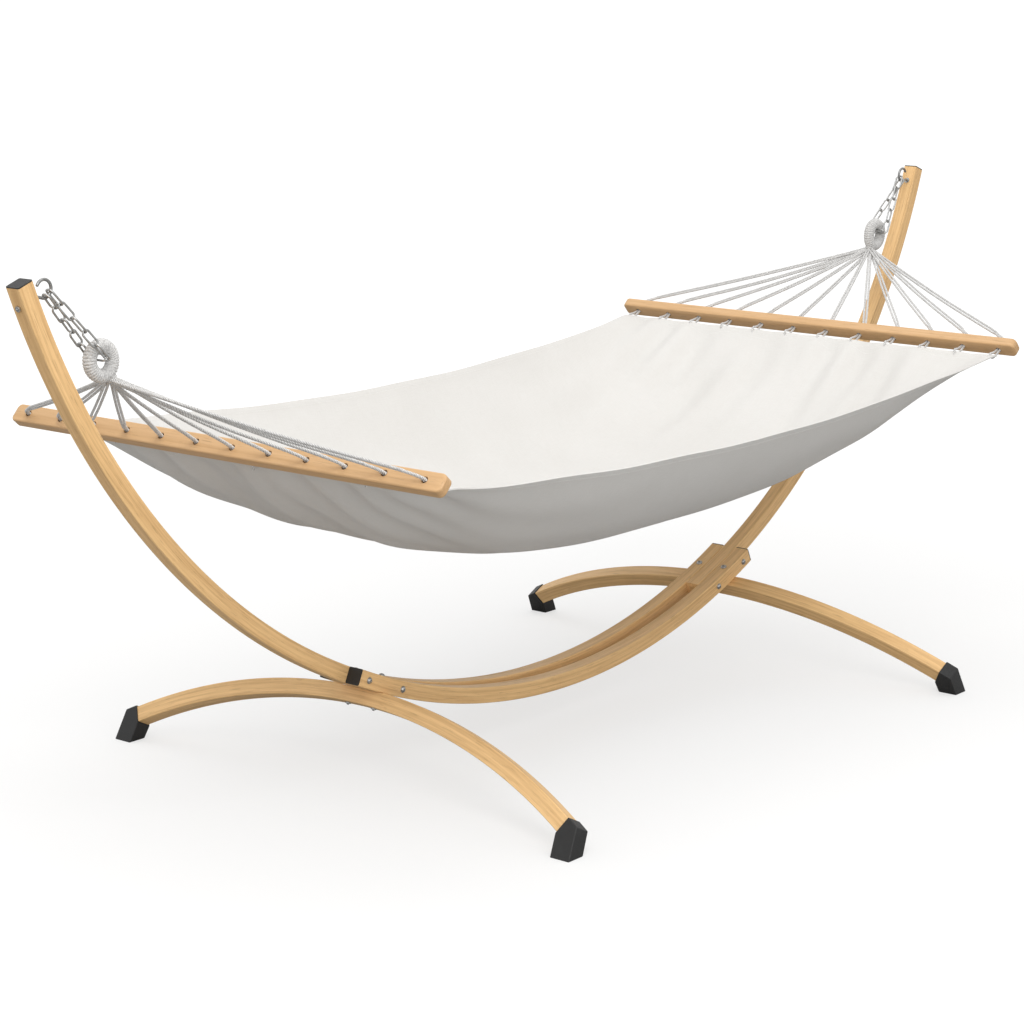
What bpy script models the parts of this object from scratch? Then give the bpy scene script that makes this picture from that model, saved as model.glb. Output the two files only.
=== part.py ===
"""Hammock with spreader bars on a curved wooden stand.

The stand is six bent square beams: an arm at each end, its foot bolted between two
middle beams that run side by side, and an arched foot beam bolted under each joint.
A hook in each arm's top carries a chain, the chain carries a whipped rope eye, and
twelve doubled cords fan out from the eye, through a spreader bar, to the cloth's hem.

+X runs along the stand (left is -X), -Y is the front, +Z is up. The origin is on the
ground under the middle of the stand. Lengths are in metres, angles in degrees.
"""

import math

import bmesh
import bpy
from mathutils import Vector

# Stand
HALF_SPAN = 1.500           # middle of the stand to the centre of an arm's top end
ARM_TOP_HEIGHT = 1.1227     # ground to the centre of an arm's top end
BEAM = 0.035                # side of every square beam
BEAM_EDGE = 0.0022          # chamfer along the beams' edges
MIDDLE_RADIUS = 1.6564      # bend of the middle beams' centre line
MIDDLE_LOW = 0.0949         # ground to the lowest point of that centre line
JOINT_ANGLE = 22.0          # where the foot bolts sit, from the lowest point
MIDDLE_END_ANGLE = 24.85    # where a middle beam's wood ends
ARM_FOOT_ANGLE = 18.8       # where an arm starts, between the middle beams
END_CAP = 0.002             # thickness of the flat end caps
FOOT_SPLAY = 5.0            # a foot beam leans out this much past the joint's normal
FOOT_RADIUS = 1.210         # bend of a foot beam's centre line
SEAT_DEPTH = 0.0005         # least depth of the seat planed on a foot beam's crown
SEAT_MARGIN = 0.0097        # the seat reaches this far past the middle beams on each side

# Foot caps
FOOT_MOUTH = 0.586          # middle of the stand to a cap's mouth, along Y
FOOT_CAP_WALL = 0.0025
FOOT_CAP_DEPTH = 0.022      # how far the beam goes in
FOOT_CAP_TOP = 0.030        # length of the cap's sloping top
FOOT_CAP_HEEL = 0.005       # how far the back wall leans out on its way down
FOOT_CAP_TOE = 0.004
FOOT_CAP_EDGE = 0.0015      # chamfer
FOOT_CAP_PLAY = 0.0006      # socket to beam, which is bent while the socket is straight

# Fasteners
BOLT = 0.006
BOLT_HEAD = 0.0125
BOLT_HEAD_HEIGHT = 0.0032
NUT = 0.0105                # across the flats
NUT_HEIGHT = 0.0045
BOLT_END = 0.0015           # thread that stands out of a nut
WASHER = 0.0135
WASHER_THICKNESS = 0.0012
HOLE_PLAY = 0.0003          # radial play of a bolt in its hole
SIDE_BOLT_PITCH = 0.110     # between the two bolts that clamp an arm
SPOT_FACE = 0.0085          # radius of the flat under a foot beam's nut
SPOT_FACE_DEPTH = 0.0006    # at its shallow side
DOME = ((1.0, 0.42), (0.8, 0.8), (0.4, 1.0), (0.0, 1.0))   # height and radius shares of a head

# Hook
HOOK_WIRE = 0.006
HOOK_DROP = 0.038           # arm's top end to the hook's shank, along the arm
HOOK_REACH = 0.029          # arm's inner face to the centre of the hook's loop
HOOK_RISE = 0.0054          # shank's line to the centre of the hook's loop
HOOK_RADIUS = 0.0165        # of the wire's centre line
HOOK_BEND = ((0.0040, 0.0), (0.0085, -0.0008), (0.0130, -0.0031))   # reach and rise into the loop
HOOK_LOOP = (225, 490)      # where the loop starts and ends, counted from the reach towards the rise

# Chain
CHAIN_LEAN = 20.18          # between the arm's line at the hook and the chain
LINK_WIRE = 0.004
LINK_PITCH = 0.0338
LINK_WIDTH = 0.016
TOP_LINK_WIDTH = 0.020      # of the wider link that hangs on the hook
TOP_LINK_PLAY = 0.0023
TOP_LINK_STEP = 0.0055      # a strand's place on the hook, from the middle of its bearing
STRAND_LINKS = 5
LINK_BITE = 0.0006          # neighbours of one strand are joined where they bear

# Rope eye and cords
EYE_RADIUS = 0.0275         # of the whipped rope's centre line
EYE_TUBE = 0.0135           # radius of the whipped rope
EYE_PLAY = 0.0008           # chain to rope
NECK_ANGLE = 57.2           # below level, from the eye's centre to its neck
NECK_LENGTH = 0.0416
NECK_TOP_RADIUS = 0.0132
NECK_RADIUS = 0.015         # of its low end
NECK_TAIL = 0.018           # length of the knot under the neck, where the cords start
CORD = 0.0044
CORD_PAIR = 0.0024          # half the distance between the two cords of a pair
CORD_ROOT = 0.008           # how deep in the knot the cords start
CORD_SPREAD = 0.012         # where the outermost pair starts, from the middle
CORD_LEAD = 0.0015          # the cords bend this far in front of the spreader bar
FAN_RUN = 0.2543            # neck to the spreader bar's outer face, along X
FAN_DROP = 0.1599
CORD_PAIRS = 12
CORD_PITCH = 0.0958

# Spreader bar and cloth
BAR_WIDTH = 0.040
BAR_THICKNESS = 0.024
BAR_OVERHANG = 0.044        # last hole to the end of the bar
BAR_EDGE = 0.003
BAR_CORNER = 0.009
BAR_TILT = 42.0             # the holes' axis, below level towards the cloth
BAR_HOLE = 0.0065           # radius
HEM_RUN = 0.030             # bar's inner face to the hem, along X
HEM_DROP = 0.009
HEM_SIDE = 0.013            # last hole to the cloth's corner
CLOTH = 0.004
CLOTH_WAIST = 0.018         # how far each long edge pulls in at mid-length
EDGE_SAG = 0.057            # how far each long edge hangs below the hems
BELLY = 0.237               # how far the middle hangs below the long edges
BELLY_LENGTHWISE = 3.7      # how square the belly is along and across
BELLY_ACROSS = 3.5

GAP = 0.0003                # between pieces that touch

# Facets
ARM_STEPS = 28
MIDDLE_STEPS = 28
FOOT_STEPS = 18
LOOP_STEPS = 14
LINK_STEPS = 4              # along each round end of a chain link
EYE_STEPS = 20
CLOTH_COLUMNS = 18          # hem to hem
CLOTH_ROWS = 14             # edge to edge

# Worked out from the sizes above, for the +X side
MIDDLE_CENTRE = Vector((0.0, MIDDLE_LOW + MIDDLE_RADIUS))
BEAM_STEP = BEAM + GAP      # between the arm's and a middle beam's centre lines
SEAT_LENGTH = 2 * (BEAM_STEP + BEAM / 2 + SEAT_MARGIN)


def polar(centre, radius, angle):
    """A point in the XZ plane, with the angle in degrees from straight down."""
    turn = math.radians(angle)
    return centre + radius * Vector((math.sin(turn), -math.cos(turn)))


JOINT = polar(MIDDLE_CENTRE, MIDDLE_RADIUS, JOINT_ANGLE)
JOINT_NORMAL = (MIDDLE_CENTRE - JOINT).normalized()


def arm_circle():
    """Centre and radius of the arc that leaves the joint in line and meets the arm's top."""
    reach = Vector((HALF_SPAN, ARM_TOP_HEIGHT)) - JOINT
    radius = reach.length_squared / (2 * reach.dot(JOINT_NORMAL))
    return JOINT + radius * JOINT_NORMAL, radius


ARM_CENTRE, ARM_RADIUS = arm_circle()
ARM_TOP_ANGLE = math.degrees(math.asin((HALF_SPAN - ARM_CENTRE.x) / ARM_RADIUS))

FOOT_TILT = JOINT_ANGLE + FOOT_SPLAY
CROWN_OFFSET = (BEAM / 2 * (math.cos(math.radians(FOOT_SPLAY)) - math.sin(math.radians(FOOT_SPLAY)))
                - SEAT_DEPTH)
SEAT = polar(MIDDLE_CENTRE, MIDDLE_RADIUS + BEAM / 2 + GAP, JOINT_ANGLE)
CROWN = SEAT - CROWN_OFFSET * JOINT_NORMAL
FOOT_UP = Vector((-math.sin(math.radians(FOOT_TILT)), math.cos(math.radians(FOOT_TILT))))
FOOT_OUT = Vector((math.cos(math.radians(FOOT_TILT)), math.sin(math.radians(FOOT_TILT))))
CROWN_HEIGHT = CROWN.y / FOOT_UP.y
FOOT_GROUND = CROWN - CROWN_HEIGHT * FOOT_UP

HOOK_ANGLE = ARM_TOP_ANGLE - math.degrees(HOOK_DROP / ARM_RADIUS)
HOOK_FACE = polar(ARM_CENTRE, ARM_RADIUS - BEAM / 2, HOOK_ANGLE)
HOOK_IN = (ARM_CENTRE - HOOK_FACE).normalized()
HOOK_UP = Vector((HOOK_IN.y, -HOOK_IN.x))
HOOK_CENTRE = HOOK_FACE + HOOK_REACH * HOOK_IN + HOOK_RISE * HOOK_UP

CHAIN_ANGLE = math.radians(HOOK_ANGLE - CHAIN_LEAN)      # below level
PULL = Vector((-math.cos(CHAIN_ANGLE), -math.sin(CHAIN_ANGLE)))
BEARING = HOOK_CENTRE + HOOK_RADIUS * PULL
CROSSWISE = Vector((-PULL.y, PULL.x))
LINK_LENGTH = LINK_PITCH + LINK_WIRE
FIRST_CROWN = -(HOOK_WIRE / 2 + LINK_WIRE / 2 + TOP_LINK_PLAY)
LAST_CROWN = FIRST_CROWN + (STRAND_LINKS - 1) * (LINK_PITCH + LINK_BITE) + LINK_LENGTH
EYE_LINK_PLACE = LAST_CROWN - LINK_WIRE - GAP
EYE_HOLE = EYE_RADIUS - EYE_TUBE
EYE_LINK_DROP = EYE_HOLE - math.sqrt(EYE_HOLE ** 2 - ((LINK_WIDTH - LINK_WIRE) / 2) ** 2)
EYE_CONTACT_PLACE = EYE_LINK_PLACE - LINK_WIRE / 2 - EYE_TUBE - EYE_LINK_DROP - EYE_PLAY
EYE_CONTACT = BEARING + EYE_CONTACT_PLACE * PULL
EYE_CENTRE = EYE_CONTACT + EYE_RADIUS * PULL
STRAND_SIDE = (EYE_TUBE + LINK_WIDTH / 2 + EYE_PLAY) * EYE_LINK_PLACE / EYE_CONTACT_PLACE

NECK_DIRECTION = Vector((-math.cos(math.radians(NECK_ANGLE)), -math.sin(math.radians(NECK_ANGLE))))
NECK = EYE_CENTRE + NECK_LENGTH * NECK_DIRECTION

BAR_AXIS = Vector((-math.cos(math.radians(BAR_TILT)), -math.sin(math.radians(BAR_TILT))))
BAR_UP = Vector((BAR_AXIS.y, -BAR_AXIS.x))
BAR_OUTER = NECK + Vector((-FAN_RUN, -FAN_DROP))
BAR_INNER = BAR_OUTER + BAR_THICKNESS * BAR_AXIS
LAST_HOLE = CORD_PITCH * (CORD_PAIRS - 1) / 2
BAR_HALF_LENGTH = LAST_HOLE + BAR_OVERHANG
HEM = BAR_INNER + Vector((-HEM_RUN, -HEM_DROP))
HEM_HALF_WIDTH = LAST_HOLE + HEM_SIDE


def clear_scene():
    for item in list(bpy.data.objects):
        bpy.data.objects.remove(item)


def finish(name, colour, roughness, metallic=0.0):
    """A plain Principled material."""
    material = bpy.data.materials.new(name)
    material.use_nodes = True
    shader = material.node_tree.nodes["Principled BSDF"]
    shader.inputs["Base Color"].default_value = (*colour, 1.0)
    shader.inputs["Roughness"].default_value = roughness
    shader.inputs["Metallic"].default_value = metallic
    material.diffuse_color = (*colour, 1.0)
    return material


def add_node(name, mesh, material, smooth_angle=None):
    """Link one finished sub-part, with its own copy of the material."""
    mesh.name = name
    own = material.copy()
    own.name = f"{name}_finish"
    mesh.materials.clear()
    mesh.materials.append(own)
    if smooth_angle is not None:
        mesh.shade_smooth()
        mesh.set_sharp_from_angle(angle=math.radians(smooth_angle))
    node = bpy.data.objects.new(name, mesh)
    bpy.context.collection.objects.link(node)
    return node


def mesh_from(bm):
    bmesh.ops.recalc_face_normals(bm, faces=bm.faces)
    mesh = bpy.data.meshes.new("shape")
    bm.to_mesh(mesh)
    bm.free()
    return mesh


def skin(rings, closed=False):
    """A closed mesh through equal rings of points, with end faces unless it closes on itself."""
    bm = bmesh.new()
    loops = [[bm.verts.new(point) for point in ring] for ring in rings]
    count = len(loops[0])
    following = loops[1:] + ([loops[0]] if closed else [])
    for near, far in zip(loops, following):
        for i in range(count):
            j = (i + 1) % count
            bm.faces.new((near[i], near[j], far[j], far[i]))
    if not closed:
        bm.faces.new(loops[0])
        bm.faces.new(loops[-1])
    return mesh_from(bm)


def rod(start, end, radius, sides=12, far_radius=None):
    """A straight round rod or frustum."""
    axis = Vector(end) - Vector(start)
    turn = axis.to_track_quat("Z", "Y").to_matrix()
    rings = []
    for centre, size in ((Vector(start), radius), (Vector(end), far_radius or radius)):
        rings.append([centre + turn @ Vector((size * math.cos(a), size * math.sin(a), 0.0))
                      for a in (2 * math.pi * i / sides for i in range(sides))])
    return skin(rings)


def tube(points, radius, closed=False, resolution=1):
    """A round wire or rope along a line of points, as a plain mesh."""
    curve = bpy.data.curves.new("wire", "CURVE")
    curve.dimensions = "3D"
    curve.bevel_depth = radius
    curve.bevel_resolution = resolution
    curve.use_fill_caps = True
    spline = curve.splines.new("POLY")
    spline.points.add(len(points) - 1)
    for slot, point in zip(spline.points, points):
        slot.co = (*point, 1.0)
    spline.use_cyclic_u = closed
    holder = bpy.data.objects.new("wire", curve)
    bpy.context.collection.objects.link(holder)
    graph = bpy.context.evaluated_depsgraph_get()
    mesh = bpy.data.meshes.new_from_object(holder.evaluated_get(graph))
    bpy.data.objects.remove(holder)
    bm = bmesh.new()
    bm.from_mesh(mesh)
    bmesh.ops.remove_doubles(bm, verts=bm.verts, dist=1e-6)
    return mesh_from(bm)


def combine(body, tool, operation):
    """The exact Boolean of two closed meshes."""
    holders = [bpy.data.objects.new("operand", mesh) for mesh in (body, tool)]
    for holder in holders:
        bpy.context.collection.objects.link(holder)
    modifier = holders[0].modifiers.new("combine", "BOOLEAN")
    modifier.operation = operation
    modifier.object = holders[1]
    modifier.solver = "EXACT"
    graph = bpy.context.evaluated_depsgraph_get()
    result = bpy.data.meshes.new_from_object(holders[0].evaluated_get(graph))
    for holder in holders:
        bpy.data.objects.remove(holder)
    return result


def cut(body, *tools):
    for tool in tools:
        body = combine(body, tool, "DIFFERENCE")
    return body


def chamfered_square(width, height, chamfer):
    """The eight corners of a rectangle with its corners cut, round its middle."""
    a, b = width / 2, height / 2
    return [(a, b - chamfer), (a - chamfer, b), (chamfer - a, b), (-a, b - chamfer),
            (-a, chamfer - b), (chamfer - a, -b), (a - chamfer, -b), (a, chamfer - b)]


def bent_beam(centre, radius, first, last, side, y, steps):
    """A square beam bent in the XZ plane, between two angles from straight down."""
    rings = []
    for i in range(steps + 1):
        angle = first + (last - first) * i / steps
        ring = []
        for out, across in chamfered_square(BEAM, BEAM, BEAM_EDGE):
            point = polar(centre, radius + out, angle)
            ring.append(Vector((side * point.x, y + across, point.y)))
        rings.append(ring)
    return skin(rings)


def side_bolt_angles():
    spread = math.degrees(SIDE_BOLT_PITCH / 2 / MIDDLE_RADIUS)
    return {"lower": JOINT_ANGLE - spread, "upper": JOINT_ANGLE + spread}


def lift(side, point, y=0.0):
    """A point of the XZ plane, mirrored to its side, in space."""
    return Vector((side * point.x, y, point.y))


def side_bolt_hole(side, angle, length):
    point = polar(MIDDLE_CENTRE, MIDDLE_RADIUS, angle)
    return rod(lift(side, point, -length), lift(side, point, length), BOLT / 2 + HOLE_PLAY)


def foot_bolt_hole(side, y):
    reach = 3 * BEAM
    return rod(lift(side, JOINT + reach * JOINT_NORMAL, y), lift(side, JOINT - reach * JOINT_NORMAL, y),
               BOLT / 2 + HOLE_PLAY)


def hook_hole(side):
    return rod(lift(side, HOOK_FACE + BEAM * HOOK_IN), lift(side, HOOK_FACE - 2 * BEAM * HOOK_IN),
               HOOK_WIRE / 2 + HOLE_PLAY)


def arm(side):
    body = bent_beam(ARM_CENTRE, ARM_RADIUS, ARM_FOOT_ANGLE, ARM_TOP_ANGLE, side, 0.0, ARM_STEPS)
    holes = [side_bolt_hole(side, angle, BEAM) for angle in side_bolt_angles().values()]
    return cut(body, hook_hole(side), *holes)


def middle_beam(y):
    body = bent_beam(MIDDLE_CENTRE, MIDDLE_RADIUS, -MIDDLE_END_ANGLE, MIDDLE_END_ANGLE, 1, y,
                     MIDDLE_STEPS)
    for side in (-1, 1):
        holes = [side_bolt_hole(side, angle, 3 * BEAM) for angle in side_bolt_angles().values()]
        body = cut(body, foot_bolt_hole(side, y), *holes)
    return body


def flat_cap(centre, radius, angle, side, y):
    """A thin square plate on the end of a bent beam."""
    along = math.degrees(END_CAP / radius)
    gap = math.degrees(GAP / radius)
    return bent_beam(centre, radius, angle + gap, angle + gap + along, side, y, 1)


def foot_point(side, y, up, out):
    """A point of a foot beam's leaning plane: along Y, up the plane, and out of it."""
    point = FOOT_GROUND + up * FOOT_UP + out * FOOT_OUT
    return Vector((side * point.x, y, point.y))


def foot_line(angle, out_of_line=0.0):
    """Y and height in the plane of a foot beam's arc, at an angle from its crown."""
    turn = math.radians(angle)
    radius = FOOT_RADIUS + out_of_line
    return radius * math.sin(turn), CROWN_HEIGHT - FOOT_RADIUS + radius * math.cos(turn)


FOOT_MOUTH_ANGLE = math.degrees(math.asin(FOOT_MOUTH / FOOT_RADIUS))
FOOT_END_ANGLE = FOOT_MOUTH_ANGLE + math.degrees(FOOT_CAP_DEPTH / FOOT_RADIUS)


def foot_beam(side):
    rings = []
    for i in range(FOOT_STEPS + 1):
        angle = FOOT_END_ANGLE * (2 * i / FOOT_STEPS - 1)
        rings.append([foot_point(side, *foot_line(angle, rise), out)
                      for rise, out in chamfered_square(BEAM, BEAM, BEAM_EDGE)])
    across = Vector((JOINT_NORMAL.y, -JOINT_NORMAL.x))
    seat = [[lift(side, SEAT + BEAM * (a * across + b * JOINT_NORMAL), y)
             for a, b in ((-1.5, 0), (1.5, 0), (1.5, 2), (-1.5, 2))]
            for y in (-SEAT_LENGTH / 2, SEAT_LENGTH / 2)]
    body = cut(skin(rings), skin(seat))
    for y in (-BEAM_STEP, BEAM_STEP):
        body = cut(body, foot_bolt_hole(side, y), spot_face(side, y))
    return body


def nut_seat():
    """Distance along the joint's normal, down from the joint, to the nut under a foot beam."""
    slope = math.radians(FOOT_SPLAY)
    underside = BEAM / 2 + GAP + CROWN_OFFSET + BEAM / 2 / math.cos(slope)
    return underside - SPOT_FACE * math.tan(slope) - SPOT_FACE_DEPTH


def spot_face(side, y):
    top = JOINT - nut_seat() * JOINT_NORMAL
    return rod(lift(side, top, y), lift(side, top - BEAM * JOINT_NORMAL, y), SPOT_FACE, 16)


def foot_cap(side, front):
    """A chunky plastic shoe: flat on the ground, with a socket square to the beam."""
    half = BEAM / 2 + FOOT_CAP_WALL
    mouth_top = Vector(foot_line(FOOT_MOUTH_ANGLE, half))
    mouth_low = Vector(foot_line(FOOT_MOUTH_ANGLE, -half))
    turn = math.radians(FOOT_MOUTH_ANGLE)
    along = Vector((math.cos(turn), -math.sin(turn)))
    crest = mouth_top + FOOT_CAP_TOP * along
    rings = []
    for out in (-half, half):
        ground = -out * math.tan(math.radians(FOOT_TILT))
        outline = [(mouth_low.x + FOOT_CAP_TOE, ground), (crest.x + FOOT_CAP_HEEL, ground),
                   tuple(crest), tuple(mouth_top), tuple(mouth_low)]
        rings.append([foot_point(side, front * y, up, out) for y, up in outline])
    socket = []
    bottom = FOOT_CAP_DEPTH * (1 + BEAM / 2 / FOOT_RADIUS) + GAP
    play = BEAM / 2 + FOOT_CAP_PLAY
    for depth in (-BEAM, bottom):
        middle = Vector(foot_line(FOOT_MOUTH_ANGLE)) + depth * along
        normal = Vector((math.sin(turn), math.cos(turn)))
        socket.append([foot_point(side, front * (middle + rise * normal).x, (middle + rise * normal).y, out)
                       for rise, out in ((play, play), (-play, play), (-play, -play), (play, -play))])
    return cut(bevelled(skin(rings), FOOT_CAP_EDGE), skin(socket))


def bevelled(mesh, width):
    bm = bmesh.new()
    bm.from_mesh(mesh)
    bmesh.ops.bevel(bm, geom=bm.edges[:], offset=width, segments=1, affect="EDGES", profile=0.5)
    return mesh_from(bm)


def bolt(head, direction, length):
    """A bolt with a low domed head; its shank runs from the head's bearing face."""
    direction = direction.normalized()
    turn = direction.to_track_quat("Z", "Y").to_matrix()
    sides = 12

    def circle(along, radius):
        return [head + along * direction + turn @ Vector((radius * math.cos(a), radius * math.sin(a), 0.0))
                for a in (2 * math.pi * i / sides for i in range(sides))]

    rings = [circle(-height * BOLT_HEAD_HEIGHT, share * BOLT_HEAD / 2) for height, share in DOME]
    rings += [circle(0.0, BOLT / 2), circle(length, BOLT / 2)]
    return skin(rings)


def nut(seat, direction, across, height, bore):
    """A hexagon nut with its bearing face at seat."""
    direction = direction.normalized()
    start = seat + GAP * direction
    body = rod(start, start + height * direction, across / math.sqrt(3), 6)
    return cut(body, rod(start - height * direction, start + 2 * height * direction, bore / 2 + HOLE_PLAY))


def hook(side):
    """A threaded shank through the arm that bends down, round and back to the arm."""
    def place(reach, rise):
        return lift(side, HOOK_FACE + reach * HOOK_IN + rise * HOOK_UP)

    tail = BEAM + GAP + NUT_HEIGHT + BOLT_END
    points = [place(-tail, 0.0), place(-BEAM / 2, 0.0), place(0.0, 0.0)]
    points += [place(*bend) for bend in HOOK_BEND]
    first, last = HOOK_LOOP
    for i in range(LOOP_STEPS + 1):
        turn = math.radians(first + (last - first) * i / LOOP_STEPS)
        points.append(place(HOOK_REACH + HOOK_RADIUS * math.cos(turn),
                            HOOK_RISE + HOOK_RADIUS * math.sin(turn)))
    return tube(points, HOOK_WIRE / 2, resolution=2)


def hook_washer(side):
    start = HOOK_FACE + GAP * HOOK_IN
    end = start + WASHER_THICKNESS * HOOK_IN
    disc = rod(lift(side, start), lift(side, end), WASHER / 2, 16)
    return cut(disc, rod(lift(side, start - BEAM * HOOK_IN), lift(side, end + BEAM * HOOK_IN),
                         HOOK_WIRE / 2 + HOLE_PLAY))


def link(crown, far, across, width=LINK_WIDTH):
    """A long chain link between two crown points, lying in the plane of its width direction."""
    along = (far - crown).normalized()
    across = (across - across.dot(along) * along).normalized()
    half = (width - LINK_WIRE) / 2
    points = []
    for centre, sign in ((crown + half * along, -1), (far - half * along, 1)):
        for i in range(LINK_STEPS + 1):
            turn = math.pi * i / LINK_STEPS
            points.append(centre + sign * half * (math.sin(turn) * along - math.cos(turn) * across))
    return tube(points, LINK_WIRE / 2, closed=True)


def chain_strand(side, front):
    """Five links from the hook to the eye link, joined where they bear on each other."""
    turn = math.asin(TOP_LINK_STEP / HOOK_RADIUS)
    start = lift(side, BEARING - HOOK_RADIUS * (1 - math.cos(turn)) * PULL
                 + front * TOP_LINK_STEP * CROSSWISE)
    end = lift(side, BEARING + EYE_LINK_PLACE * PULL, front * STRAND_SIDE)
    along = (end - start).normalized()
    stretch = (end - start).length / EYE_LINK_PLACE
    strand = None
    for i in range(STRAND_LINKS):
        crown = start + (FIRST_CROWN + i * (LINK_PITCH + LINK_BITE)) * stretch * along
        across = lift(side, CROSSWISE) if i % 2 else Vector((0.0, 1.0, 0.0))
        width = LINK_WIDTH if i else TOP_LINK_WIDTH
        piece = link(crown, crown + LINK_LENGTH * stretch * along, across, width)
        strand = combine(strand, piece, "UNION") if strand else piece
    return strand


def eye_link(side):
    """The link that passes through the rope eye and joins the two strands."""
    middle = BEARING + EYE_LINK_PLACE * PULL
    return link(lift(side, middle, -STRAND_SIDE), lift(side, middle, STRAND_SIDE),
                lift(side, CROSSWISE))


def rope_eye(side):
    """The whipped rope eye with its neck."""
    rings = []
    for i in range(EYE_STEPS):
        turn = 2 * math.pi * i / EYE_STEPS
        outward = Vector((math.cos(turn), math.sin(turn)))
        rings.append([lift(side, EYE_CENTRE + (EYE_RADIUS + EYE_TUBE * math.cos(a)) * outward,
                           EYE_TUBE * math.sin(a))
                      for a in (2 * math.pi * k / 10 for k in range(10))])
    eye = skin(rings, closed=True)
    start = EYE_CENTRE + EYE_RADIUS * NECK_DIRECTION
    neck = rod(lift(side, start), lift(side, NECK), NECK_TOP_RADIUS, 14, NECK_RADIUS)
    return combine(eye, neck, "UNION")


def hole_place(k):
    """Y of the k-th hole of a spreader bar."""
    return -LAST_HOLE + CORD_PITCH * k


def cord_pair(side, k):
    """One doubled cord: from the neck, through the bar, round at the hem, and back."""
    y = hole_place(k)
    root = lift(side, NECK + CORD_ROOT * NECK_DIRECTION, CORD_SPREAD * y / LAST_HOLE)
    mouth = lift(side, BAR_OUTER - CORD_LEAD * BAR_AXIS, y)
    inside = lift(side, BAR_INNER, y)
    bight = lift(side, HEM + Vector((CORD / 2 + CORD_PAIR + GAP, 0.0)), y)
    level = Vector((0.0, CORD_PAIR, 0.0))
    sideways = side * (mouth - root).cross(lift(side, BAR_UP)).normalized() * CORD_PAIR
    inwards = CORD_PAIR * (bight - inside).normalized()
    bend = [bight + math.cos(turn) * level + math.sin(turn) * inwards
            for turn in (math.pi / 3, 2 * math.pi / 3)]
    near = [root + sideways, mouth + sideways, inside + level, bight + level]
    far = [bight - level, inside - level, mouth - sideways, root - sideways]
    return tube(near + bend + far, CORD / 2)


def cord_fan(side):
    """The twelve doubled cords, gathered in the neck under the eye."""
    start = NECK + GAP * NECK_DIRECTION
    end = NECK + NECK_TAIL * NECK_DIRECTION
    fan = rod(lift(side, start), lift(side, end), NECK_RADIUS, 14, NECK_TOP_RADIUS)
    for k in range(CORD_PAIRS):
        fan = combine(fan, cord_pair(side, k), "UNION")
    return fan


def spreader_bar(side):
    """A flat hardwood bar with cut corners and twelve holes."""
    rings = []
    for y, trim in ((-BAR_HALF_LENGTH, BAR_CORNER), (-BAR_HALF_LENGTH + BAR_CORNER, 0.0),
                    (BAR_HALF_LENGTH - BAR_CORNER, 0.0), (BAR_HALF_LENGTH, BAR_CORNER)):
        middle = BAR_OUTER + BAR_THICKNESS / 2 * BAR_AXIS
        outline = chamfered_square(BAR_WIDTH - 2 * trim, BAR_THICKNESS - trim, BAR_EDGE)
        rings.append([lift(side, middle + a * BAR_UP + b * BAR_AXIS, y) for a, b in outline])
    body = skin(rings)
    for k in range(CORD_PAIRS):
        y = hole_place(k)
        body = cut(body, rod(lift(side, BAR_OUTER - BAR_THICKNESS * BAR_AXIS, y),
                             lift(side, BAR_INNER + BAR_THICKNESS * BAR_AXIS, y), BAR_HOLE, 10))
    return body


def cloth_height(along, across):
    """Height of the cloth; both run from -1 to 1, hem to hem and edge to edge."""
    edge = HEM.y - EDGE_SAG * (1 - along ** 2)
    return edge - BELLY * (1 - abs(along) ** BELLY_LENGTHWISE) * (1 - abs(across) ** BELLY_ACROSS)


def hammock_cloth():
    """The cloth as a thin closed shell that hangs between the two hems."""
    rings = []
    for i in range(CLOTH_COLUMNS + 1):
        along = 2 * i / CLOTH_COLUMNS - 1
        half = HEM_HALF_WIDTH - CLOTH_WAIST * (1 - along ** 2)
        top = []
        for j in range(CLOTH_ROWS + 1):
            across = 2 * j / CLOTH_ROWS - 1
            top.append(Vector((along * HEM.x, half * across, cloth_height(along, across))))
        rings.append(top + [point - Vector((0.0, 0.0, CLOTH)) for point in reversed(top)])
    bm = bmesh.new()
    loops = [[bm.verts.new(point) for point in ring] for ring in rings]
    count = len(loops[0])
    for near, far in zip(loops, loops[1:]):
        for i in range(count):
            j = (i + 1) % count
            bm.faces.new((near[i], near[j], far[j], far[i]))
    for loop in (loops[0], loops[-1]):
        for j in range(CLOTH_ROWS):
            bm.faces.new((loop[j], loop[j + 1], loop[count - 2 - j], loop[count - 1 - j]))
    return mesh_from(bm)


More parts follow.
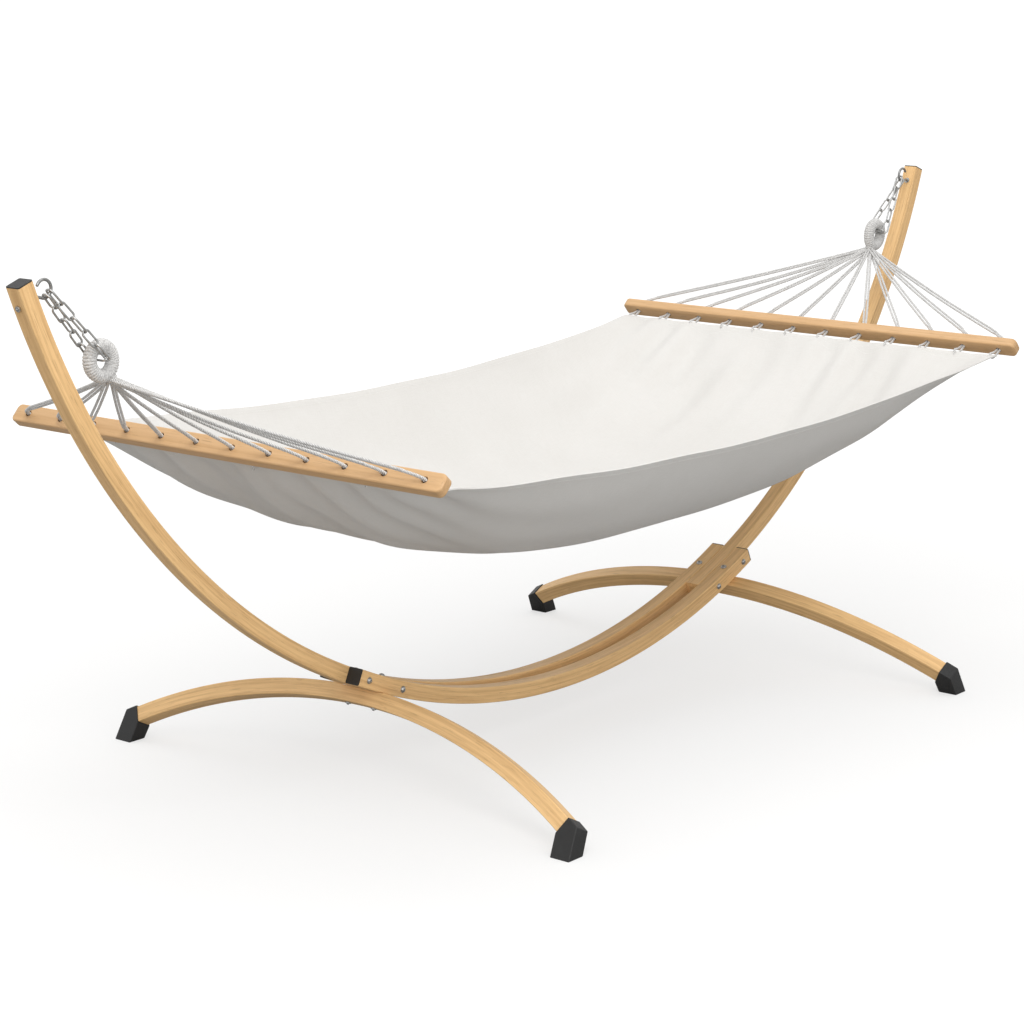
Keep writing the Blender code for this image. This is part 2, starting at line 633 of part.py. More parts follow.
def build():
    clear_scene()
    wood = finish("bent_larch", (0.72, 0.46, 0.22), 0.55)
    plastic = finish("black_plastic", (0.03, 0.03, 0.03), 0.5)
    steel = finish("zinc_steel", (0.62, 0.62, 0.62), 0.35, 1.0)
    rope = finish("cotton_rope", (0.82, 0.81, 0.79), 0.9)
    canvas = finish("cotton_canvas", (0.9, 0.88, 0.84), 0.9)
    sides = {"left": -1, "right": 1}
    ends = {"front": -1, "back": 1}

    for end, front in ends.items():
        add_node(f"middle_beam_{end}", middle_beam(front * BEAM_STEP), wood)
    for name, side in sides.items():
        add_node(f"arm_{name}", arm(side), wood)
        add_node(f"arm_cap_{name}", flat_cap(ARM_CENTRE, ARM_RADIUS, ARM_TOP_ANGLE, side, 0.0), plastic)
        add_node(f"foot_beam_{name}", foot_beam(side), wood)
        add_node(f"hook_{name}", hook(side), steel, 50)
        add_node(f"hook_washer_{name}", hook_washer(side), steel, 30)
        outer_face = lift(side, HOOK_FACE - BEAM * HOOK_IN)
        add_node(f"hook_nut_{name}", nut(outer_face, -lift(side, HOOK_IN), NUT, NUT_HEIGHT, HOOK_WIRE), steel)
        for end, front in ends.items():
            y = front * BEAM_STEP
            add_node(f"beam_cap_{name}_{end}",
                     flat_cap(MIDDLE_CENTRE, MIDDLE_RADIUS, MIDDLE_END_ANGLE, side, y), plastic)
            add_node(f"foot_cap_{name}_{end}", foot_cap(side, front), plastic)
            top = JOINT + (BEAM / 2 + GAP) * JOINT_NORMAL
            grip = BEAM / 2 + 2 * GAP + nut_seat() + NUT_HEIGHT + BOLT_END
            down = -lift(side, JOINT_NORMAL)
            add_node(f"foot_bolt_{name}_{end}", bolt(lift(side, top, y), down, grip), steel, 40)
            seat = JOINT - nut_seat() * JOINT_NORMAL
            add_node(f"foot_nut_{name}_{end}", nut(lift(side, seat, y), down, NUT, NUT_HEIGHT, BOLT), steel)
        for place, angle in side_bolt_angles().items():
            point = polar(MIDDLE_CENTRE, MIDDLE_RADIUS, angle)
            face = BEAM_STEP + BEAM / 2
            head = lift(side, point, -face - GAP)
            backwards = Vector((0.0, 1.0, 0.0))
            grip = 2 * face + 2 * GAP + NUT_HEIGHT + BOLT_END
            add_node(f"side_bolt_{name}_{place}", bolt(head, backwards, grip), steel, 40)
            add_node(f"side_nut_{name}_{place}",
                     nut(lift(side, point, face), backwards, NUT, NUT_HEIGHT, BOLT), steel)
        for end, front in ends.items():
            add_node(f"chain_{name}_{end}", chain_strand(side, front), steel, 60)
        add_node(f"chain_eye_link_{name}", eye_link(side), steel, 60)
        add_node(f"rope_eye_{name}", rope_eye(side), rope, 60)
        add_node(f"cord_fan_{name}", cord_fan(side), rope, 60)
        add_node(f"spreader_bar_{name}", spreader_bar(side), wood)
    add_node("hammock_cloth", hammock_cloth(), canvas, 30)


build()
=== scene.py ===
"""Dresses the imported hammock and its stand: wood, plastic, steel, chain, rope and canvas.

+X runs along the stand (left is -X), -Y is the front, +Z is up. Lengths are in metres.
Every piece is made for the +X end in the XZ plane and mirrored by its side, -1 or 1.
"""

import math

import bmesh
import bpy
import numpy as np
from bpy.props import FloatProperty, FloatVectorProperty, IntProperty, PointerProperty
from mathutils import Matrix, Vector


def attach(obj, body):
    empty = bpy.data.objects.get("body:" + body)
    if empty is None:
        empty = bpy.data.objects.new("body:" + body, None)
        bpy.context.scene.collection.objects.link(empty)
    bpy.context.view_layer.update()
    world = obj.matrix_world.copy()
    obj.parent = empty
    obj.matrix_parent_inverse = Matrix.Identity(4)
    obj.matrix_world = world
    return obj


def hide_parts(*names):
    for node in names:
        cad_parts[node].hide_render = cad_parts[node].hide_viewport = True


bl_info = {
    "name": "Hammock on an Arc Stand",
    "version": (1, 0, 0),
    "blender": (4, 5, 0),
    "location": "3D View > Sidebar > Hammock",
    "description": "Builds the wood, chain, rope and canvas of a hammock around its packed frame",
    "category": "Object",
}

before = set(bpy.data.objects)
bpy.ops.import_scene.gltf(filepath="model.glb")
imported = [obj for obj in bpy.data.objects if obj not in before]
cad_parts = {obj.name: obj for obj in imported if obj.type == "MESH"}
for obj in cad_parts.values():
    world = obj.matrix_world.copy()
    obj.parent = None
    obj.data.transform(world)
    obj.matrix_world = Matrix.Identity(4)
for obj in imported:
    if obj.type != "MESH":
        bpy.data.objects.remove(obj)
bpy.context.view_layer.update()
SIDES = {"left": -1, "right": 1}
ENDS = {"front": -1, "back": 1}

GAP = 0.0003                # between pieces that touch
NAMES = {side: name for name, side in SIDES.items()}
GRAIN_SHIFTS = {"arm": 5, "foot": 9, "bar": 13}     # metres along the grain, apart for each kind of piece

# Bent beams
BEAM = 0.035
BEAM_STEP = 0.0353          # between the arm's and a middle beam's centre lines
MIDDLE_CENTRE = Vector((0.0, 1.7513))
MIDDLE_RADIUS = 1.6564
MIDDLE_END_ANGLE = 24.85
ARM_FOOT_ANGLE = 18.8
HALF_SPAN = 1.500
ARM_TOP_HEIGHT = 1.1227
JOINT_ANGLE = 22.0
SIDE_BOLT_PITCH = 0.110
FOOT_TILT = 27.0            # lean of a foot beam's plane
FOOT_RADIUS = 1.210
FOOT_CROWN = 0.2073         # from the ground up the leaning plane
FOOT_GROUND = Vector((0.7271, 0.0))
SEAT_LENGTH = 0.125
SPOT_FACE = 0.0085
NUT_SEAT = 0.0495           # joint to the nut under a foot beam
FOOT_MOUTH = 0.586
FOOT_TENON = 0.022          # from the cap's mouth to the beam's end
FOOT_CAP_WALL = 0.0025
FOOT_CAP_DEPTH = 0.0226
FOOT_CAP_TOP = 0.030
FOOT_CAP_HEEL = 0.005
FOOT_CAP_TOE = 0.004

# Hook, chain and rope eye
HOOK_DROP = 0.038
HOOK_REACH = 0.029
HOOK_RISE = 0.0054
HOOK_RADIUS = 0.0165
HOOK_BEND = ((0.0040, 0.0), (0.0085, -0.0008), (0.0130, -0.0031))
HOOK_LOOP = (225, 490)      # degrees
HOOK_WIRE = 0.003
CHAIN_ANGLE = 48.2
LINK_PITCH = 0.0342
LINK_LENGTH = 0.0379
LINK_WIDTH = 0.0145
STRAND_LINKS = 5
STRAND_STEP = 0.0055
STRAND_SIDE = 0.0250
FIRST_CROWN = -0.0070
EYE_LINK_PLACE = 0.1641
EYE_CONTACT_PLACE = 0.14645
EYE_RADIUS = 0.0275
EYE_TUBE = 0.0135
NECK_ANGLE = 57.2
NECK_LENGTH = 0.0416
NECK_RADIUS = 0.0105
NECK_DEPTH = 0.012          # how far the neck's rope reaches into the eye

# Cords, spreader bars and cloth
CORD_PAIRS = 12
CORD_PITCH = 0.0958
CORD_PAIR = 0.0036          # half the distance between a pair's two cords
FAN_RUN = 0.2543
FAN_DROP = 0.1599
BAR_WIDTH = 0.040
BAR_THICKNESS = 0.024
BAR_OVERHANG = 0.044
BAR_CORNER = 0.013
BAR_TILT = 42.0
BAR_HOLE = 0.0071
HEM_RUN = 0.030
HEM_DROP = 0.009
HEM_SIDE = 0.013
EYELET_PLACE = 0.0095       # hem's edge to the middle of an eyelet
EYELET_COLUMN = 2           # the cloth's grid line near the eyelets, counted from its end
CLOTH_WAIST = 0.018
EDGE_SAG = 0.057
BELLY = 0.237
BELLY_LENGTHWISE = 3.7
BELLY_ACROSS = 3.5
CLOTH_COLUMNS = 250
CLOTH_ROWS = 150
SETTLING = 0.025            # how fast the folds grow from a hem
PLEAT_REACH = 0.26
FLATTENING = 0.7            # how fast they fade towards the middle
WAVES = (                   # wavelength, lean, reach from the hem and share of the fold's depth
    (0.171, 0.9, 0.42, 1.0),
    (0.118, -1.4, 0.34, 0.75),
    (0.263, 2.1, 0.40, 1.0),
    (0.083, 0.6, 0.22, 0.45),
    (0.35, -0.8, 0.48, 0.8),
)

# Stage
CAMERA_PLACE = (-4.5088, -3.5426, 1.7149)
CAMERA_YAW = 0.8886
CAMERA_PITCH = -0.2145
LIGHT_AIM = Vector((0.0, 0.0, 0.5))
LIGHTS = {                  # width and place
    "key": (3.2, (-3.2, -2.6, 4.6)),
    "top": (4.5, (0.6, 0.8, 5.2)),
    "front": (3.5, (-3.4, -5.2, 1.7)),
}
BACKDROP = 1.05             # brightness of the room as the camera sees it
GLOW_RISE = 0.2             # more floor glow far away
GLOW_SPAN = (1.6, 5.0)      # metres from the middle


def polar(centre, radius, angle):
    """A point in the XZ plane, with the angle in degrees from straight down."""
    turn = math.radians(angle)
    return centre + radius * Vector((math.sin(turn), -math.cos(turn)))


def below_level(angle):
    """Unit vector in the XZ plane, inwards and down from the level by an angle in degrees."""
    turn = math.radians(angle)
    return Vector((-math.cos(turn), -math.sin(turn)))


def square_to(way):
    """The direction a quarter turn from another in the XZ plane."""
    return Vector((way.y, -way.x))


def lift(side, point, y=0.0):
    """A point of the XZ plane, mirrored to its side, in space."""
    return Vector((side * point.x, y, point.y))


JOINT = polar(MIDDLE_CENTRE, MIDDLE_RADIUS, JOINT_ANGLE)
JOINT_NORMAL = (MIDDLE_CENTRE - JOINT).normalized()
ARM_REACH = Vector((HALF_SPAN, ARM_TOP_HEIGHT)) - JOINT
ARM_RADIUS = ARM_REACH.length_squared / (2 * ARM_REACH.dot(JOINT_NORMAL))
ARM_CENTRE = JOINT + ARM_RADIUS * JOINT_NORMAL
ARM_TOP_ANGLE = math.degrees(math.asin((HALF_SPAN - ARM_CENTRE.x) / ARM_RADIUS))
FOOT_UP = Vector((-math.sin(math.radians(FOOT_TILT)), math.cos(math.radians(FOOT_TILT))))
FOOT_OUT = square_to(FOOT_UP)
SEAT = polar(MIDDLE_CENTRE, MIDDLE_RADIUS + BEAM / 2 + GAP, JOINT_ANGLE)
FOOT_MOUTH_ANGLE = math.degrees(math.asin(FOOT_MOUTH / FOOT_RADIUS))
FOOT_END_ANGLE = FOOT_MOUTH_ANGLE + math.degrees(FOOT_TENON / FOOT_RADIUS)

HOOK_ANGLE = ARM_TOP_ANGLE - math.degrees(HOOK_DROP / ARM_RADIUS)
HOOK_FACE = polar(ARM_CENTRE, ARM_RADIUS - BEAM / 2, HOOK_ANGLE)
HOOK_IN = (ARM_CENTRE - HOOK_FACE).normalized()
HOOK_UP = square_to(HOOK_IN)
PULL = below_level(CHAIN_ANGLE)
CROSSWISE = -square_to(PULL)
BEARING = HOOK_FACE + HOOK_REACH * HOOK_IN + HOOK_RISE * HOOK_UP + HOOK_RADIUS * PULL
EYE_CENTRE = BEARING + (EYE_CONTACT_PLACE + EYE_RADIUS) * PULL
NECK_DIRECTION = below_level(NECK_ANGLE)
NECK_SIDE = square_to(NECK_DIRECTION)
NECK = EYE_CENTRE + NECK_LENGTH * NECK_DIRECTION
BAR_AXIS = below_level(BAR_TILT)
BAR_UP = square_to(BAR_AXIS)
BAR_OUTER = NECK + Vector((-FAN_RUN, -FAN_DROP))
BAR_INNER = BAR_OUTER + BAR_THICKNESS * BAR_AXIS
LAST_HOLE = CORD_PITCH * (CORD_PAIRS - 1) / 2
HOLES = [CORD_PITCH * k - LAST_HOLE for k in range(CORD_PAIRS)]
HEM = BAR_INNER + Vector((-HEM_RUN, -HEM_DROP))
HEM_HALF_WIDTH = LAST_HOLE + HEM_SIDE


class Value:
    """A number socket whose arithmetic adds Math nodes."""

    def __init__(self, builder, socket):
        self.builder = builder
        self.socket = socket

    def math(self, operation, *others):
        return self.builder.value("ShaderNodeMath", {"operation": operation},
                                  dict(enumerate((self, *others))))

    def __add__(self, other):
        return self.math("ADD", other)

    def __mul__(self, other):
        return self.math("MULTIPLY", other)

    def __sub__(self, other):
        return self.math("SUBTRACT", other)

    def __truediv__(self, other):
        return self.math("DIVIDE", other)

    def __rsub__(self, other):
        return (self * -1.0).math("ADD", other)

    def __mod__(self, other):
        return self.math("MODULO", other)

    def __pow__(self, other):
        return self.math("POWER", other)

    def __abs__(self):
        return self.math("ABSOLUTE")

    __radd__ = __add__
    __rmul__ = __mul__


class Builder:
    """Adds nodes to one tree, with plain numbers, colours or other nodes' sockets as their inputs."""

    def __init__(self, tree):
        self.tree = tree

    def node(self, kind, settings=None, inputs=None):
        made = self.tree.nodes.new(kind)
        for name, value in (settings or {}).items():
            setattr(made, name, value)
        for key, value in (inputs or {}).items():
            self.plug(made.inputs[key], value)
        return made

    def plug(self, socket, value):
        if isinstance(value, Value):
            value = value.socket
        if isinstance(value, bpy.types.NodeSocket):
            self.tree.links.new(value, socket)
        elif socket.type == "RGBA":
            socket.default_value = (*value, 1.0)
        else:
            socket.default_value = value

    def socket(self, kind, settings=None, inputs=None, output=0):
        return self.node(kind, settings, inputs).outputs[output]

    def value(self, kind, settings=None, inputs=None, output=0):
        return Value(self, self.socket(kind, settings, inputs, output))

    def vector(self, operation, *inputs):
        return self.socket("ShaderNodeVectorMath", {"operation": operation}, dict(enumerate(inputs)))

    def scaled(self, vector, factor):
        return self.socket("ShaderNodeVectorMath", {"operation": "SCALE"},
                           {"Vector": vector, "Scale": factor})

    def join(self, x, y, z):
        return self.socket("ShaderNodeCombineXYZ", None, {"X": x, "Y": y, "Z": z})

    def split(self, vector):
        parts = self.node("ShaderNodeSeparateXYZ", None, {"Vector": vector})
        return [Value(self, output) for output in parts.outputs]


class Finish(Builder):
    """A material with one Principled shader."""

    def __init__(self, name):
        self.material = bpy.data.materials.new(name)
        self.material.use_nodes = True
        super().__init__(self.material.node_tree)
        self.shader = self.tree.nodes["Principled BSDF"]

    def object_space(self):
        return self.socket("ShaderNodeTexCoord", output="Object")

    def attribute(self, name, output="Vector"):
        return self.socket("ShaderNodeAttribute", {"attribute_name": name}, output=output)

    def noise(self, vector, scale, detail=2.0, roughness=0.5, stretch=(1.0, 1.0, 1.0)):
        """Smooth noise from 0 to 1; the scale is in cells a metre."""
        placed = self.vector("MULTIPLY", vector, tuple(scale * share for share in stretch))
        return self.value("ShaderNodeTexNoise", {"noise_dimensions": "3D"},
                          {"Vector": placed, "Scale": 1.0, "Detail": detail, "Roughness": roughness})

    def smooth(self, value, low, high):
        """0 below low, 1 above high, and a smooth step between them."""
        return self.value("ShaderNodeMapRange", {"interpolation_type": "SMOOTHSTEP"},
                          {"Value": value, "From Min": low, "From Max": high})

    def blend(self, factor, first, second):
        """Mixes two colours."""
        return self.socket("ShaderNodeMix", {"data_type": "RGBA"}, {0: factor, 6: first, 7: second}, 2)

    def surface(self, colour, roughness, bump=None, depth=0.0, **constants):
        """Sets the shader, with its constant sockets given by name, and returns the material."""
        self.plug(self.shader.inputs["Base Color"], colour)
        self.plug(self.shader.inputs["Roughness"], roughness)
        for name, value in constants.items():
            self.shader.inputs[name.replace("_", " ")].default_value = value
        if bump is not None:
            relief = self.socket("ShaderNodeBump", None, {"Height": bump, "Strength": 1.0, "Distance": depth})
            self.plug(self.shader.inputs["Normal"], relief)
        return self.material


class Growth(Builder):
    """A geometry tree with named inputs, which ends in plain mesh with one material."""

    KINDS = {int: "NodeSocketInt", float: "NodeSocketFloat", Vector: "NodeSocketVector",
             bpy.types.Material: "NodeSocketMaterial", bpy.types.Object: "NodeSocketObject"}

    def __init__(self, name, inputs):
        super().__init__(bpy.data.node_groups.new(name, "GeometryNodeTree"))
        face = self.tree.interface
        face.new_socket("Geometry", in_out="INPUT", socket_type="NodeSocketGeometry")
        for label, kind in {**inputs, "Material": bpy.types.Material}.items():
            face.new_socket(label, in_out="INPUT", socket_type=self.KINDS[kind])
        face.new_socket("Geometry", in_out="OUTPUT", socket_type="NodeSocketGeometry")
        self.inputs = self.node("NodeGroupInput").outputs

    def number(self, label):
        return Value(self, self.inputs[label])

    def circle(self, points, radius):
        return self.socket("GeometryNodeCurvePrimitiveCircle", {"mode": "RADIUS"},
                           {"Resolution": points, "Radius": radius})

    def even_line(self, measure, amount):
        """The input's lines with even points, by their Count or by the Length between them."""
        curve = self.socket("GeometryNodeMeshToCurve", None, {"Mesh": self.inputs["Geometry"]})
        return self.socket("GeometryNodeResampleCurve", {"mode": measure.upper()},
                           {"Curve": curve, measure: amount})

    def moved(self, geometry, **place):
        return self.socket("GeometryNodeSetPosition", None, {"Geometry": geometry, **place})

    def swept(self, curve, section, **sizes):
        return self.socket("GeometryNodeCurveToMesh", None,
                           {"Curve": curve, "Profile Curve": section, "Fill Caps": True, **sizes})

    def copies(self, points, piece, rotation, scale):
        return self.socket("GeometryNodeInstanceOnPoints", None,
                           {"Points": points, "Instance": piece, "Rotation": rotation, "Scale": scale})

    def end(self, geometry):
        """Realizes the instances, sets the material and closes the tree."""
        real = self.socket("GeometryNodeRealizeInstances", None, {"Geometry": geometry})
        done = self.socket("GeometryNodeSetMaterial", None,
                           {"Geometry": real, "Material": self.inputs["Material"]})
        self.node("NodeGroupOutput", None, {"Geometry": done})
        return self.tree


def link_tree():
    """Chain links in a row, each a quarter turn from the last."""
    tree = Growth("Chain Links", {"Count": int, "First": Vector, "Step": Vector, "Across": Vector,
                                  "Length": float, "Width": float, "Wire": float, "First Wider": float})
    row = tree.socket("GeometryNodeMeshLine", {"mode": "OFFSET"},
                      {"Count": tree.inputs["Count"], "Start Location": tree.inputs["First"],
                       "Offset": tree.inputs["Step"]})
    index = tree.value("GeometryNodeInputIndex")
    x = tree.split(tree.socket("GeometryNodeInputPosition"))[0]
    half_straight = (tree.number("Length") - tree.number("Width")) * 0.5
    oval = tree.moved(tree.circle(30, tree.number("Width") * 0.5),
                      Offset=tree.join(x.math("SIGN") * half_straight, 0.0, 0.0))
    link = tree.swept(oval, tree.circle(12, tree.inputs["Wire"]))
    along = tree.socket("FunctionNodeAxesToRotation", {"primary_axis": "X", "secondary_axis": "Y"},
                        {"Primary Axis": tree.inputs["Step"], "Secondary Axis": tree.inputs["Across"]})
    quarter = tree.socket("FunctionNodeAxisAngleToRotation", None,
                          {"Axis": (1.0, 0.0, 0.0), "Angle": (index % 2.0) * (math.pi / 2)})
    turned = tree.socket("FunctionNodeRotateRotation", {"rotation_space": "LOCAL"},
                         {"Rotation": along, "Rotate By": quarter})
    is_first = 1.0 - index.math("MINIMUM", 1.0)
    scale = tree.join(1.0, is_first * tree.number("First Wider") + 1.0, 1.0)
    return tree.end(tree.copies(row, link, turned, scale))


def cord_tree():
    """Laid cord along every line of the input: a lobed section that turns as it goes."""
    tree = Growth("Laid Cord", {"Cord": float, "Strands": int, "Lay": float, "Step": float})
    length = tree.value("GeometryNodeSplineParameter", output="Length")
    tilted = tree.socket("GeometryNodeSetCurveTilt", None,
                         {"Curve": tree.even_line("Length", tree.inputs["Step"]),
                          "Tilt": length * (2 * math.pi) / tree.number("Lay")})
    points = 12
    index = tree.value("GeometryNodeInputIndex")
    wave = (index * tree.number("Strands") * (2 * math.pi / points)).math("COSINE")
    place = tree.socket("GeometryNodeInputPosition")
    lobed = tree.moved(tree.circle(points, tree.inputs["Cord"]),
                       Position=tree.scaled(place, wave * 0.12 + 0.88))
    # Stores painted shade for the cord's colour: 0 on each strand's crest, 1 in the groove between strands.
    marked = tree.socket("GeometryNodeStoreNamedAttribute", {"data_type": "FLOAT", "domain": "POINT"},
                         {"Geometry": lobed, "Name": "groove", "Value": wave * -0.5 + 0.5})
    return tree.end(tree.swept(tilted, marked))


def whipping_tree():
    """One cord wound round the line of the input, thinner where the line bends and crowds it."""
    tree = Growth("Whipping", {"Turns": float, "Rope": float, "Cord": float, "Centre": Vector,
                               "Ring": float, "Crowding": float})
    turns = tree.number("Turns")
    turn = tree.value("GeometryNodeSplineParameter", output="Factor") * turns * (2 * math.pi)
    normal = tree.socket("GeometryNodeInputNormal")
    sideways = tree.vector("CROSS_PRODUCT", tree.socket("GeometryNodeInputTangent"), normal)
    outwards = tree.vector("ADD", tree.scaled(normal, turn.math("COSINE")),
                           tree.scaled(sideways, turn.math("SINE")))
    outside = tree.vector("ADD", tree.socket("GeometryNodeInputPosition"),
                          tree.scaled(outwards, tree.inputs["Rope"]))
    reach = tree.value("ShaderNodeVectorMath", {"operation": "DISTANCE"},
                       {0: outside, 1: tree.inputs["Centre"]}, "Value")
    kept = tree.node("GeometryNodeCaptureAttribute", {"domain": "POINT"},
                     {"Geometry": tree.even_line("Count", turns * 16.0)})
    kept.capture_items.new("FLOAT", "share")
    tree.plug(kept.inputs["share"], (reach / tree.number("Ring") - 1.0) * tree.number("Crowding") + 1.0)
    share = Value(tree, kept.outputs["share"])
    wound = tree.moved(kept.outputs["Geometry"],
                       Offset=tree.scaled(outwards, tree.number("Rope") - share * tree.number("Cord")))
    sized = tree.socket("GeometryNodeSetCurveRadius", None, {"Curve": wound, "Radius": share})
    return tree.end(tree.swept(sized, tree.circle(10, tree.inputs["Cord"]), Scale=share))


def stitch_tree():
    """Short stitches along every line of the input."""
    tree = Growth("Stitches", {"Spacing": float, "Length": float, "Thread": float})
    bead = tree.socket("GeometryNodeMeshUVSphere", None, {"Segments": 6, "Rings": 4, "Radius": 1.0})
    turned = tree.socket("FunctionNodeAlignRotationToVector", {"axis": "X"},
                         {"Vector": tree.socket("GeometryNodeInputTangent")})
    thread = tree.number("Thread")
    return tree.end(tree.copies(tree.even_line("Length", tree.inputs["Spacing"]), bead, turned,
                                tree.join(tree.number("Length") * 0.5, thread, thread)))


def copies_tree():
    """A copy of one piece on every point, with its own Z axis along the point's direction."""
    tree = Growth("Copies", {"Piece": bpy.types.Object})
    piece = tree.socket("GeometryNodeObjectInfo", {"transform_space": "ORIGINAL"},
                        {"Object": tree.inputs["Piece"]}, "Geometry")
    direction = tree.socket("GeometryNodeInputNamedAttribute", {"data_type": "FLOAT_VECTOR"},
                            {"Name": "direction"}, "Attribute")
    turned = tree.socket("FunctionNodeAlignRotationToVector", {"axis": "Z"}, {"Vector": direction})
    return tree.end(tree.copies(tree.inputs["Geometry"], piece, turned, (1.0, 1.0, 1.0)))


def placed(name, mesh, smooth_angle=None):
    """A new object at the origin, with its place in its mesh."""
    mesh.name = name
    piece = bpy.data.objects.new(name, mesh)
    bpy.context.scene.collection.objects.link(piece)
    if smooth_angle is not None:
        mesh.shade_smooth()
        mesh.set_sharp_from_angle(angle=math.radians(smooth_angle))
    return piece


def grown(name, tree, base, values):
    """What a geometry tree makes of a mesh, as a plain mesh object."""
    holder = placed(f"{name}_base", base)
    modifier = holder.modifiers.new("growth", "NODES")
    modifier.node_group = tree
    places = {item.name: item.identifier for item in tree.interface.items_tree if item.in_out == "INPUT"}
    for label, value in values.items():
        modifier[places[label]] = value[:] if isinstance(value, Vector) else value
    graph = bpy.context.evaluated_depsgraph_get()
    mesh = bpy.data.meshes.new_from_object(holder.evaluated_get(graph))
    bpy.data.objects.remove(holder)
    return placed(name, mesh, 60)


def finished(piece, *settings):
    """Applies modifiers, given as (type, {setting: value}), and returns the piece with a plain mesh."""
    for kind, values in settings:
        modifier = piece.modifiers.new(kind.lower(), kind)
        for key, value in values.items():
            setattr(modifier, key, value)
    graph = bpy.context.evaluated_depsgraph_get()
    mesh = bpy.data.meshes.new_from_object(piece.evaluated_get(graph))
    piece.modifiers.clear()
    piece.data = mesh
    mesh.name = piece.name
    return piece


def evened(piece, weight=100):
    """Weights a bevelled piece's normals by face, so that its flats stay flat."""
    return finished(piece, ("WEIGHTED_NORMAL", {"keep_sharp": True, "weight": weight}))


def circle(count):
    """Angles of equal steps round a circle."""
    return [2 * math.pi * i / count for i in range(count)]


def mesh_of(bm):
    bmesh.ops.recalc_face_normals(bm, faces=bm.faces)
    mesh = bpy.data.meshes.new("shape")
    bm.to_mesh(mesh)
    bm.free()
    return mesh


def polyline(*lines, closed=False):
    """Lines of points as a mesh of edges."""
    vertices, edges = [], []
    for line in lines:
        start = len(vertices)
        vertices += [tuple(point) for point in line]
        edges += [(i, i + 1) for i in range(start, len(vertices) - 1)]
        if closed:
            edges.append((len(vertices) - 1, start))
    mesh = bpy.data.meshes.new("lines")
    mesh.from_pydata(vertices, edges, [])
    return mesh


def pointed(places):
    """Points with directions, given as (point, direction), as a mesh of vertices."""
    mesh = bpy.data.meshes.new("points")
    mesh.from_pydata([tuple(point) for point, _ in places], [], [])
    layer = mesh.attributes.new("direction", "FLOAT_VECTOR", "POINT")
    layer.data.foreach_set("vector", [c for _, way in places for c in way.normalized()])
    return mesh


def skin(rings, closed=False):
    """A closed mesh through equal rings of points, with end faces unless it closes on itself."""
    bm = bmesh.new()
    loops = [[bm.verts.new(point) for point in ring] for ring in rings]
    count = len(loops[0])
    for near, far in zip(loops, loops[1:] + ([loops[0]] if closed else [])):
        for i in range(count):
            j = (i + 1) % count
            bm.faces.new((near[i], near[j], far[j], far[i]))
    if not closed:
        bm.faces.new(loops[0])
        bm.faces.new(loops[-1])
    return mesh_of(bm)


def smooth_path(points, spacing):
    """Points at about one spacing on the Catmull-Rom curve through the given ones."""
    padded = [2 * points[0] - points[1], *points, 2 * points[-1] - points[-2]]
    path = []
    for a, b, c, d in zip(padded, padded[1:], padded[2:], padded[3:]):
        steps = max(1, round((c - b).length / spacing))
        for i in range(steps):
            t = i / steps
            path.append(0.5 * (2 * b + (c - a) * t + (2 * a - 5 * b + 4 * c - d) * t * t
                               + (3 * b - a - 3 * c + d) * t ** 3))
    return [*path, points[-1]]


def round_wire(path, radius, sides, closed=False):
    """A round wire along a path, with rounded ends unless it is closed."""
    rings = []
    count = len(path)
    normal = None
    for i, point in enumerate(path):
        ahead = path[(i + 1) % count] if closed or i + 1 < count else point
        behind = path[i - 1] if closed or i else point
        tangent = (ahead - behind).normalized()
        if normal is None:
            normal = tangent.orthogonal().normalized()
        normal = (normal - normal.dot(tangent) * tangent).normalized()
        rings.append((point, tangent, normal))
    if not closed:
        (first, away, side), (last, onward, far_side) = rings[0], rings[-1]
        tips = (0.95, 0.75, 0.45)
        sizes = [math.sqrt(1 - tip ** 2) for tip in tips]
        start = [(first - tip * radius * away, away, side * size) for tip, size in zip(tips, sizes)]
        end = [(last + tip * radius * onward, onward, far_side * size) for tip, size in zip(tips, sizes)]
        rings = start + rings + end[::-1]
    return skin([[point + radius * (math.cos(a) * across + math.sin(a) * tangent.cross(across))
                  for a in circle(sides)] for point, tangent, across in rings], closed)


def lathe(profile, sides):
    """A closed turned shape round Z; the profile runs from axis to axis as (radius, height)."""
    bm = bmesh.new()
    rings = []
    for radius, height in profile:
        if radius == 0:
            rings.append([bm.verts.new((0.0, 0.0, height))])
            continue
        rings.append([bm.verts.new((radius * math.cos(a), radius * math.sin(a), height))
                      for a in circle(sides)])
    for near, far in zip(rings, rings[1:]):
        for i in range(sides):
            corners = [near[i % len(near)], near[(i + 1) % len(near)],
                       far[(i + 1) % len(far)], far[i % len(far)]]
            bm.faces.new(list(dict.fromkeys(corners)))
    return mesh_of(bm)


def rounded_square(width, height, radius, steps=4):
    """A rectangle's outline with round corners, round its middle."""
    outline = []
    for corner in range(4):
        middle_x = (width / 2 - radius) * (1, -1, -1, 1)[corner]
        middle_y = (height / 2 - radius) * (1, 1, -1, -1)[corner]
        for i in range(steps + 1):
            turn = math.pi / 2 * (corner + i / steps)
            outline.append((middle_x + radius * math.cos(turn), middle_y + radius * math.sin(turn)))
    return outline


def cut(piece, *cutters):
    """The piece with exact Boolean cuts."""
    for cutter in cutters:
        tool = placed("cutter", cutter)
        finished(piece, ("BOOLEAN", {"operation": "DIFFERENCE", "object": tool, "solver": "EXACT"}))
        bpy.data.objects.remove(tool)
    return piece


def rod(start, end, radius):
    """A round bar between two points."""
    turn = (end - start).to_track_quat("Z", "Y").to_matrix()
    return skin([[centre + turn @ Vector((radius * math.cos(a), radius * math.sin(a), 0.0))
                  for a in circle(24)] for centre in (start, end)])


